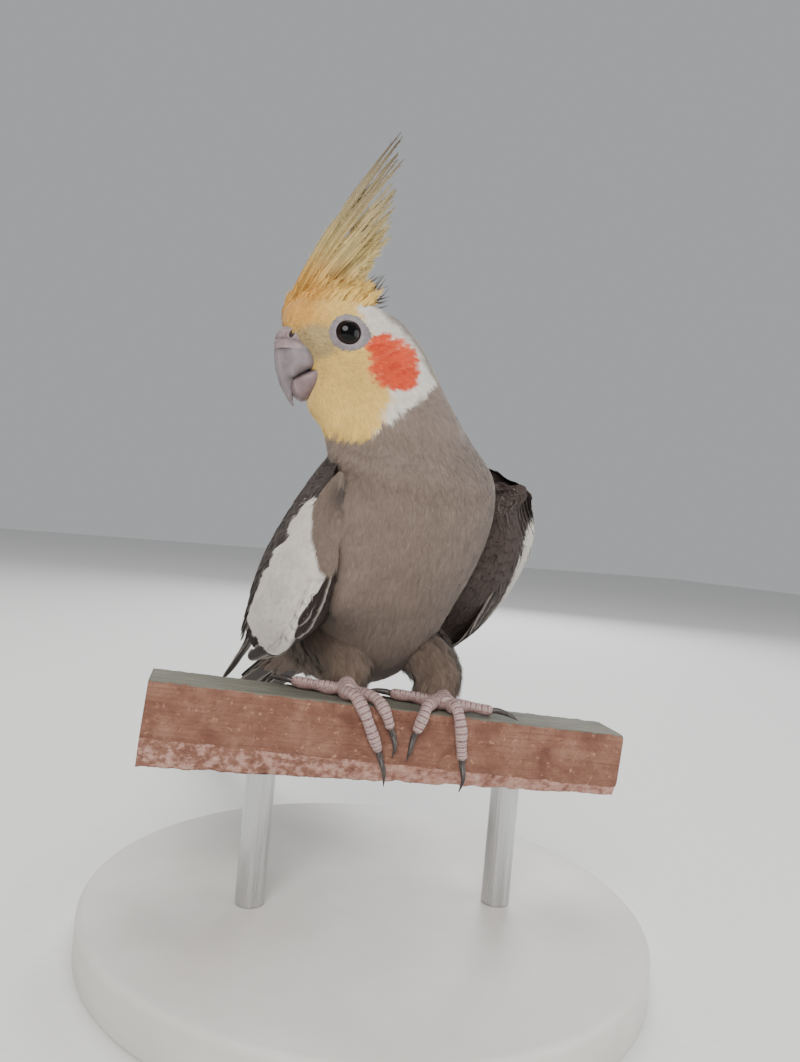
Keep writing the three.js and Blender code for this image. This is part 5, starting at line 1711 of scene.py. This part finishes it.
# The cut along the lower front edge, from end to end
CHAMFER_DROP = [8.6, 2.6]
CHAMFER_DEPTH = [4.2, 1.6]
PERCH_ALONG = np.array([math.cos(PERCH_HEADING) * math.cos(PERCH_TILT),
                        math.sin(PERCH_HEADING) * math.cos(PERCH_TILT), -math.sin(PERCH_TILT)])
PERCH_BACK = np.array([-math.sin(PERCH_HEADING), math.cos(PERCH_HEADING), 0.0])
PERCH_UP = np.cross(PERCH_ALONG, PERCH_BACK)
PERCH_AT = np.array([0, PERCH_CENTRE_Y, PERCH_TOP])


def perch_point(local):
    """A place from the perch's own frame: along it, back and up from the middle of its top."""
    local = np.asarray(local, float)
    return PERCH_AT + local[..., :1] * PERCH_ALONG + local[..., 1:2] * PERCH_BACK + local[..., 2:3] * PERCH_UP


def make_perch():
    """A square bar whose lower front corner is cut away, rough along its edges."""
    half = PERCH_DEPTH / 2
    rings = []
    for a in np.linspace(-PERCH_LENGTH / 2, PERCH_LENGTH / 2, 230):
        t = (a / PERCH_LENGTH) + 0.5
        drop = CHAMFER_DROP[0] * (1 - t) + CHAMFER_DROP[1] * t
        depth = CHAMFER_DEPTH[0] * (1 - t) + CHAMFER_DEPTH[1] * t
        low = -PERCH_FACE - drop
        corners = [(-half, 0), (-half, -PERCH_FACE), (-half + depth, low), (half, low), (half, 0)]
        outline = []
        for p, q, n in zip(np.array(corners), np.roll(corners, -1, 0), (22, 12, 12, 20, 18)):
            outline += [p + (q - p) * j / n for j in range(n)]
        rings.append(np.column_stack([np.full(len(outline), a), np.array(outline)]))
    rings = np.array(rings)
    corner_near = np.zeros(rings.shape[:2])
    for by, bz in ((-half, 0.0), (half, 0.0), (-half, -PERCH_FACE)):
        from_corner = np.hypot(rings[..., 1] - by, rings[..., 2] - bz)
        corner_near = np.maximum(corner_near, np.exp(-(from_corner / 0.9) ** 2))
    inward = unit(np.stack([0 * corner_near, -rings[..., 1], -10.0 - rings[..., 2]], -1))
    wear = 0.30 + 0.22 * wave_noise(rings, 5.0, 41) + 0.12 * wave_noise(rings, 1.6, 42)
    ripple = 0.05 * wave_noise(rings * np.array([0.25, 1, 1]), 1.6, 43) + 0.04 * wave_noise(rings, 2.6, 44)
    chip_zone = (smooth_step(-PERCH_FACE + 1.0, -PERCH_FACE - 1.0, rings[..., 2])
                 * smooth_step(half, half - 4, rings[..., 1]))
    chips = chip_zone * (0.22 + 0.34 * wave_noise(rings, 4.2, 45) + 0.15 * wave_noise(rings, 1.8, 46))
    knot = np.exp(-np.sum((rings - np.array(KNOT)) ** 2, -1) / 3.2) * 1.2
    chips = chips + knot
    shift = np.clip(corner_near * wear, 0, 0.8) + np.abs(ripple) + np.clip(chips, 0, 1.5)
    local = rings + inward * shift[..., None]
    points, faces = loft(perch_point(local))
    grain = np.vstack([local.reshape(-1, 3), local[0].mean(0), local[-1].mean(0)])
    add_mesh("perch_bar", points, faces, perch_material(), vectors={"grain": grain}, slot="perch_timber",
             replaces=("perch",))


# The feet, in the perch's frame: where each stands on it, and the paths of each toe's bones and of its claw
TOE_RADIUS = 1.65
REST = TOE_RADIUS + 0.15
FRONT = -PERCH_DEPTH / 2 - REST
REAR = PERCH_DEPTH / 2 + REST
FEET_AT = {"right": (-14, 0.2), "left": (13.5, -1.5)}
TOES = {
    "right": {
        "inner_front": ([[-10.5, -3, REST], [-7, -7.6, REST], [-4.6, FRONT, -0.6], [-2.2, FRONT, -5.2]],
                        [[-1.4, FRONT, -6.6], [-0.6, FRONT - 1.2, -9.6], [-0.6, FRONT + 0.4, -13]]),
        "outer_front": ([[-15, -3.4, REST], [-12.6, -8, REST], [-10, FRONT, -1.6], [-6.6, FRONT, -7.6],
                         [-4.4, FRONT, -11.6]],
                        [[-3.9, FRONT, -13], [-2.6, FRONT - 1.4, -16.4], [-1.6, FRONT + 0.6, -20.6]]),
        "outer_rear": ([[-17.4, 0.2, REST], [-23, 2, REST], [-29, 4, REST]],
                       [[-30.4, 4.6, REST + 0.3], [-33.4, 6.8, REST], [-35.4, 8.6, 0.7]]),
        "inner_rear": ([[-11.6, 3.4, REST], [-9.6, 7.4, REST], [-8.4, REAR, -1.4]],
                       [[-8.2, REAR, -3], [-7.8, REAR + 0.6, -6], [-7.6, REAR - 0.8, -9.4]]),
    },
    "left": {
        "inner_front": ([[10, -4.6, REST], [7.6, -8.2, REST], [6, FRONT, -1.2], [4.6, FRONT, -5.6]],
                        [[4.2, FRONT, -7], [3.6, FRONT - 1.2, -10], [3.4, FRONT + 0.4, -13.2]]),
        "outer_front": ([[14.5, -5, REST], [15.6, -8.6, REST], [16.8, FRONT, -2.2], [18, FRONT, -8],
                         [18.8, FRONT, -11.4]],
                        [[19, FRONT, -12.8], [19.4, FRONT - 1.4, -16.2], [19.4, FRONT + 0.6, -20.2]]),
        "outer_rear": ([[17, -2.2, REST], [21.6, -3.4, REST], [27.4, -5, REST]],
                       [[28.8, -5.4, REST + 0.3], [31.6, -7.6, REST - 0.1], [33.6, -9, 0.7]]),
        "inner_rear": ([[9.8, 0.2, REST], [5, 1.8, REST], [-1, 3, REST]],
                       [[-2.4, 3.2, REST + 0.3], [-5.4, 4.4, REST], [-7.6, 5.4, 0.8]]),
    },
}
PERCH_CORE = PERCH_AT - PERCH_UP * 9.0


def limb(path, radii, steps, sides, shape=None):
    """A tube through points, whose top faces away from the middle of the perch, and the painted shade and
    highlights that its shape gives.
    """
    path = np.asarray(path, float)
    u = np.linspace(0, 1, steps)
    centre = spline(path, u * (len(path) - 1))
    radius = spline(radii, u * (len(radii) - 1))
    ahead = unit(np.gradient(centre, axis=0))
    inner = PERCH_CORE + PERCH_ALONG * ((centre - PERCH_CORE) @ PERCH_ALONG)[:, None]
    out = unit(centre - inner)
    out = unit(out - ahead * dot(out, ahead)[:, None])
    side = np.cross(out, ahead)
    grown = ring(centre, side, out, [radius] * 4, sides)
    painted_light = [np.zeros((steps, sides))] * 2
    if shape:
        angle = np.arange(sides) * 2 * math.pi / sides
        factor, *painted_light = shape(u, angle, centre)
        grown = centre[:, None] + (grown - centre[:, None]) * factor[..., None]
    points, faces = loft(grown)
    return (points, faces, *[np.concatenate([mark.ravel(), [0, 0]]) for mark in painted_light])


# The length of a ring scute
SCUTE = 1.2


def scaled(u, angle, centre):
    """Ring scutes over the top, pads beneath, swollen joints and a rounded end, with painted shade in the creases
    between scutes and painted highlights near their edges on the top.
    """
    length = np.sum(np.linalg.norm(np.diff(centre, axis=0), axis=1))
    phase = (u * length / SCUTE) % 1.0
    away = np.minimum(phase, 1 - phase) * SCUTE
    top = smooth_step(0.05, 0.45, np.sin(angle))
    middle = smooth_step(0.45, 0.8, np.sin(angle))
    # Painted shade in the creases between scutes, and a painted highlight band on the top of each scute near its
    # edge
    crease_shade = np.exp(-(away / 0.17) ** 2)[:, None] * (0.35 * top + 0.65 * middle)[None, :]
    pale = np.exp(-((away - 0.36) / 0.15) ** 2)[:, None] * top[None, :]
    bulge = np.sin(math.pi * phase) ** 0.5
    joints = 0.07 * np.cos(2 * math.pi * u * max(length / 6.5, 1.0))[:, None]
    beneath = smooth_step(0.0, -0.8, np.sin(angle))[None, :]
    pads = 0.10 * np.sin(2 * math.pi * u * length / 5.2)[:, None] * beneath
    factor = 1 + 0.09 * (bulge[:, None] - 0.7) * top[None, :] + joints + pads
    blunt = np.sqrt(np.clip(1 - np.clip((u - 0.93) / 0.07, 0, 1) ** 2, 0.01, 1))
    return factor * blunt[:, None], crease_shade, pale


def make_feet():
    """Each foot's skin in one piece, and its claws in another."""
    skin_shade, horn = foot_material(), claw_material()
    for name, toes in TOES.items():
        along, back = FEET_AT[name]
        palm = perch_point([along, back - 1, 2.6])
        ankle = perch_point([along * 0.95, back + 7, 5.6])
        knee = np.array([along, 14, PERCH_TOP + 16])
        shin = [knee * 0.35 + ankle * 0.65, ankle, (ankle + palm) / 2, palm]
        parts = [limb(shin, [2.2, 2.1, 2.1, 2.5], 60, 28, scaled)]
        heel = [palm + PERCH_BACK * 3.2, palm + PERCH_UP * 0.2, palm - PERCH_BACK * 3.4]
        parts.append(limb(heel, [1.5, 2.6, 1.6], 30, 28, scaled))
        claws = []
        for path, claw in toes.values():
            bones = [palm * 0.65 + perch_point(path[0]) * 0.35] + [perch_point(p) for p in path]
            parts.append(limb(bones, [2.0, 1.85, 1.7, 1.6, 1.35], 36 * len(path), 28, scaled))
            tip_of_toe, before = perch_point(path[-1]), perch_point(path[-2])
            start = tip_of_toe - unit(tip_of_toe - before) * 0.8
            claws.append(limb([start] + [perch_point(p) for p in claw], [0.85, 0.85, 0.6, 0.1], 44, 20)[:2])
        # The painted shade of the creases and the painted highlights on the scutes, which the skin's material
        # reads
        crease_shade, pale = (np.concatenate([part[k] for part in parts]) for k in (2, 3))
        add_mesh(f"foot_skin_{name}", *joined([part[:2] for part in parts]), skin_shade,
                 vectors={"scute": np.stack([crease_shade, pale, 0 * pale], -1)}, slot="foot_skin",
                 replaces=(f"foot_{name}", *[f"toe_{name}_{toe}" for toe in toes]))
        add_mesh(f"claws_{name}", *joined(claws), horn, slot="claw_horn",
                 replaces=[f"claw_{name}_{toe}" for toe in toes])


BASE_RADIUS, BASE_THICKNESS, BASE_BEVEL = 78.0, 12.0, 2.0


def make_stand():
    """A round base with a bevel, and the metal of the two solid rods."""
    profile = [(0.5, 0), (BASE_RADIUS - 0.8, 0), (BASE_RADIUS - 0.2, 0.25), (BASE_RADIUS, 0.9)]
    for angle in (k / 8 * math.pi / 2 for k in range(9)):
        profile.append((BASE_RADIUS - BASE_BEVEL + BASE_BEVEL * math.cos(angle),
                        BASE_THICKNESS - BASE_BEVEL + BASE_BEVEL * math.sin(angle)))
    profile.append((0.5, BASE_THICKNESS))
    rings = [ring(np.array([0, 0, z]), X_AXIS, Y_AXIS, [r] * 4, 160) for r, z in profile]
    add_mesh("stand_base_disc", *loft(rings), base_material(), slot="stand_base", replaces=("stand_base",))
    metal = metal_material()
    for name in ("left", "right"):
        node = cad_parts[f"stand_rod_{name}"]
        if node.material_slots:
            node.material_slots[0].material = metal
        else:
            node.data.materials.append(metal)


# The coat's pieces

coat = coat_material("coat_feathers")
face_coat = coat_material("face_feathers", streak=7.0, sheen=0.3)
wing_shade = vane_material("wing_vanes")
crest_shade = vane_material("crest_vanes", barbs=2.0, roughness=0.7)
core_skin = skin_material()
BODY_BLADES = blade_template(10, 1)
FACE_BLADES = blade_template(6, 2, fineness=0.4)
LOOSE_BLADES = blade_template(12, 3, fineness=0.30, rise=0.06)


def in_bill(p):
    """True where the bill or the cere takes the feathers' place."""
    f, l, h = head_coords(p)
    inside = np.zeros(f.shape, dtype=bool)
    for slices in (CERE, BILL_UPPER, BILL_LOWER):
        rows = np.array(slices)[::-1]
        rear, half = (np.interp(h, rows[:, 0], rows[:, k]) for k in (1, 3))
        within = (h > rows[0, 0] - 0.2) & (h < rows[-1, 0] + 0.1)
        inside |= within & (f > rear + 0.4) & (np.abs(l) < half + 0.1)
    return inside


def in_eye_ring(p):
    """True on the bare skin round the eye."""
    f, l, h = head_coords(p)
    stretch = 1 + 0.28 * (f < 0) * np.exp(-((h - EYE_UP) / 2.0) ** 2)
    return (np.hypot(f / stretch, h - EYE_UP) < 4.85) & (np.abs(l) > 6)


wing_trees = []
for edges in WINGS.values():
    grid_along, grid_across = np.meshgrid(np.linspace(0.3, 8, 60), np.linspace(0.3, 1, 12), indexing="ij")
    wing_trees.append(sheet_tree(wing_point(edges, grid_along, grid_across)))


def under_wing(place, normal):
    """True where a wing covers the root closely enough to hide it."""
    return np.array([any(tree.ray_cast(Vector(p), Vector(n), 12.0)[0] is not None for tree in wing_trees)
                     for p, n in zip(place, normal)])


def spacing(p):
    """The distance between neighbouring feathers."""
    _, _, h = head_coords(p)
    on_face = smooth_step(-34, -16, h)
    height = p[..., 2] - PERCH_TOP
    body = 0.72 + 0.16 * smooth_step(45, 5, height)
    return body * (1 - on_face) + 0.50 * on_face


def coat_length(p):
    """How long the feathers are: short on the face and shortest near the bill and the eye."""
    f, l, h = head_coords(p)
    height = p[..., 2] - PERCH_TOP
    body = 5.8 + 2.6 * smooth_step(45, 8, height)
    neck = smooth_step(-44, -26, h)
    face = smooth_step(-26, -10, h)
    length = body * (1 - neck) + 4.6 * neck
    length = length * (1 - face) + 2.5 * face
    near_bill = smooth_step(8.0, 3.5, np.hypot(f - 13, (h + 6) * 0.9))
    near_eye = smooth_step(8.0, 5.0, np.hypot(f, h - EYE_UP)) * (np.abs(l) > 5)
    return length * (1 - 0.45 * near_bill) * (1 - 0.35 * near_eye)


def make_coat():
    """The small feathers of head and body, in six pieces."""
    row, column = scatter((2, ROWS - 2), spacing, SEED + 1, keep=lambda p: ~in_bill(p) & ~in_eye_ring(p))
    roots = skin_roots(row, column)
    upright = dot(roots[1], unit(sample(PLAIN_NORMAL, row, column))) > 0.62
    roots = picked(roots, upright & ~under_wing(roots[0], roots[1]))
    place = roots[0]
    f, _, h = head_coords(place)
    height = place[:, 2] - PERCH_TOP
    face = h > -24
    front = place[:, 1] < 14
    regions = {
        "coat_face_front": face & (f > -4),
        "coat_face_rear": face & (f <= -4),
        "coat_breast_right": ~face & front & (height > 38) & (place[:, 0] < -4),
        "coat_breast_left": ~face & front & (height > 38) & (place[:, 0] >= -4),
        "coat_belly": ~face & front & (height <= 38),
        "coat_back": ~face & ~front,
    }
    for seed, (name, mask) in enumerate(regions.items()):
        chosen = picked(roots, mask)
        length = coat_length(chosen[0])
        if name.startswith("coat_face"):
            grow_coat(name, chosen, length, length * 0.56, 0.08, FACE_BLADES, face_coat, 0.12, 10.0,
                      SEED + 40 + seed, tone=0.04, wild=5.0, slot="face_feathers")
        else:
            grow_coat(name, chosen, length, length * 0.38, 0.12, BODY_BLADES, coat, 0.25, 22.0,
                      SEED + 40 + seed)


def make_vent():
    """Longer loose feathers that hang below the rear of the body."""
    roots = skin_roots(*scatter((4, 64), lambda p: 1.15 + 0 * p[..., 0], SEED + 71))
    place, normal, flow, unwrap = picked(roots, (roots[1][:, 2] < 0.30) & (roots[0][:, 1] > 20))
    rear = smooth_step(28, 48, place[:, 1])
    outwards = np.stack([np.sign(place[:, 0]) * 0.25 * rear, 0 * rear, 0 * rear], -1)
    flow = unit(flow * 0.8 + np.array([0, 0.15, -0.6]) + outwards)
    grow_coat("coat_vent", (place, normal, flow, unwrap), 8.0 + 4.5 * rear, 3.0, 0.5, LOOSE_BLADES, coat,
              1.5 + 3.0 * rear, 22.0, SEED + 72, tone=0.06, barb_tone=0.11, wild=12.0, colour=leg_colour)


def leg_colour(p):
    """Olive brown of the loose feathers round the legs and vent."""
    colour = blend(markings(p), OLIVE, 0.3 + 0.3 * wave_noise(p, 5.0, 12))
    return colour * (1 + 0.08 * wave_noise(p, 1.6, 13))[..., None]


def make_leg_coat(name):
    """A cone of feathered thigh from the flank to the ankle."""
    grid, centre, radius, ahead, first, second = leg_surface(name)
    points, faces = loft(grid)
    add_mesh(f"thigh_skin_{name}", points, faces, core_skin, vectors={"tint": leg_colour(points)},
             slot="body_feathers", replaces=(f"thigh_{name}",))
    draw = np.random.default_rng(SEED + 80 + len(name))
    count = int(np.sum(2 * math.pi * radius[:-1] * np.linalg.norm(np.diff(centre, axis=0), axis=1)) / 0.98 ** 2)
    weight = radius[:-1] / radius[:-1].sum()
    row = draw.choice(LEG_ROWS - 1, size=count, p=weight) + draw.random(count)
    turn_at = draw.random(count) * 2 * math.pi
    at = row / (LEG_ROWS - 1)
    middle, reach = leg_line(name, at)
    index = np.clip(row.astype(int), 0, LEG_ROWS - 1)
    normal = unit(second[index] * np.cos(turn_at)[:, None] + first[index] * np.sin(turn_at)[:, None])
    place = middle + normal * reach[:, None]
    flow = unit(ahead[index] + np.array([0, 0, -0.3]))
    unwrap = np.stack([turn_at / (2 * math.pi), at], -1)
    grow_coat(f"coat_leg_{name}", (place, normal, flow, unwrap), 7.2, 2.3, 0.5, LOOSE_BLADES, coat, 1.1, 12.0,
              SEED + 90, tone=0.06, barb_tone=0.12, wild=12.0, colour=leg_colour,
              tree=surface_tree(points, faces))


# How high the breast feathers' tips lie over the front of the right wing
EDGE_RAISE = 0.7
EDGE_TRIES = 3300
edge_along, edge_across = np.meshgrid(np.linspace(-0.9, 3, 70), np.linspace(-0.4, 0.7, 30), indexing="ij")
edge_sheet = (wing_point(WINGS["right"], edge_along, edge_across)
              + wing_normal(WINGS["right"], edge_along, edge_across) * EDGE_RAISE)
edge_tree = sheet_tree(edge_sheet)


def make_wing_edge_coat():
    """Breast feathers that lie over the front of the right wing."""
    edges = WINGS["right"]
    draw = np.random.default_rng(SEED + 95)
    along, across = draw.uniform(-0.6, 1.3, EDGE_TRIES), draw.uniform(-0.12, 0.34, EDGE_TRIES)
    wanted = across < np.interp(along + 0.25, *BREAST_COVER) + draw.normal(-0.01, 0.016, EDGE_TRIES)
    along, across = along[wanted], across[wanted]
    normal = wing_normal(edges, along, across)
    place = wing_point(edges, along, across) + normal * (EDGE_RAISE - 0.4)
    flow = unit(wing_point(edges, along + 0.1, across) - wing_point(edges, along, across))
    flow = unit(flow + np.array([0, 0, -0.25]))
    unwrap = np.stack([(along + 0.8) / 2.8, (across + 0.25) / 0.7], -1)
    grow_coat("coat_wing_edge", (place, normal, flow, unwrap), 6.0, 2.3, 0.12, BODY_BLADES, coat, 0.25, 22.0,
              SEED + 96, tone=0.04, tree=edge_tree)


DOWN_TRIES = 3900


def make_white_down(name, edges):
    """Fine loose barbs that veil the edges of the white coverts."""
    draw = np.random.default_rng(SEED + 97)
    along, across = draw.uniform(0.3, 4.5, DOWN_TRIES), draw.uniform(-0.1, 0.5, DOWN_TRIES)
    white = white_patch(edges, along + 0.25, across, 0.0)
    front = np.interp(along, [1.3, 1.8], [-0.2, -0.02]) if edges["side"] < 0 else -0.2
    wanted = (white > 0.7) & (along < 4.28) & (across > front)
    along, across = along[wanted], across[wanted]
    normal = wing_normal(edges, along, across)
    place = wing_point(edges, along, across) + normal * 0.12
    flow = unit(wing_point(edges, along + 0.1, across) - wing_point(edges, along, across))
    unwrap = np.stack([along / 5, (across + 0.2) / 0.8], -1)
    grow_coat(f"coat_wing_white_{name}", (place, normal, flow, unwrap), 4.6, 1.9, 0.1, BODY_BLADES, coat, 0.12,
              22.0, SEED + 98, tone=0.02, barb_tone=0.03, colour=lambda p: even(WING_WHITE, p),
              tree=wing_sheet(edges, np.linspace(0, 5.4, 70), -0.3, 0.7, 0.35), slot="wing_feathers")


make_coat()
make_vent()
for leg_name in FEET_AT:
    make_leg_coat(leg_name)
make_wing_edge_coat()
for wing_name, wing_edges in WINGS.items():
    make_wing(wing_name, wing_edges, wing_shade, core_skin)
    make_white_down(wing_name, wing_edges)
make_tail(wing_shade, core_skin)
make_crest(crest_shade)
make_eyes()
make_lids()
make_bill()
make_perch()
make_feet()
make_stand()
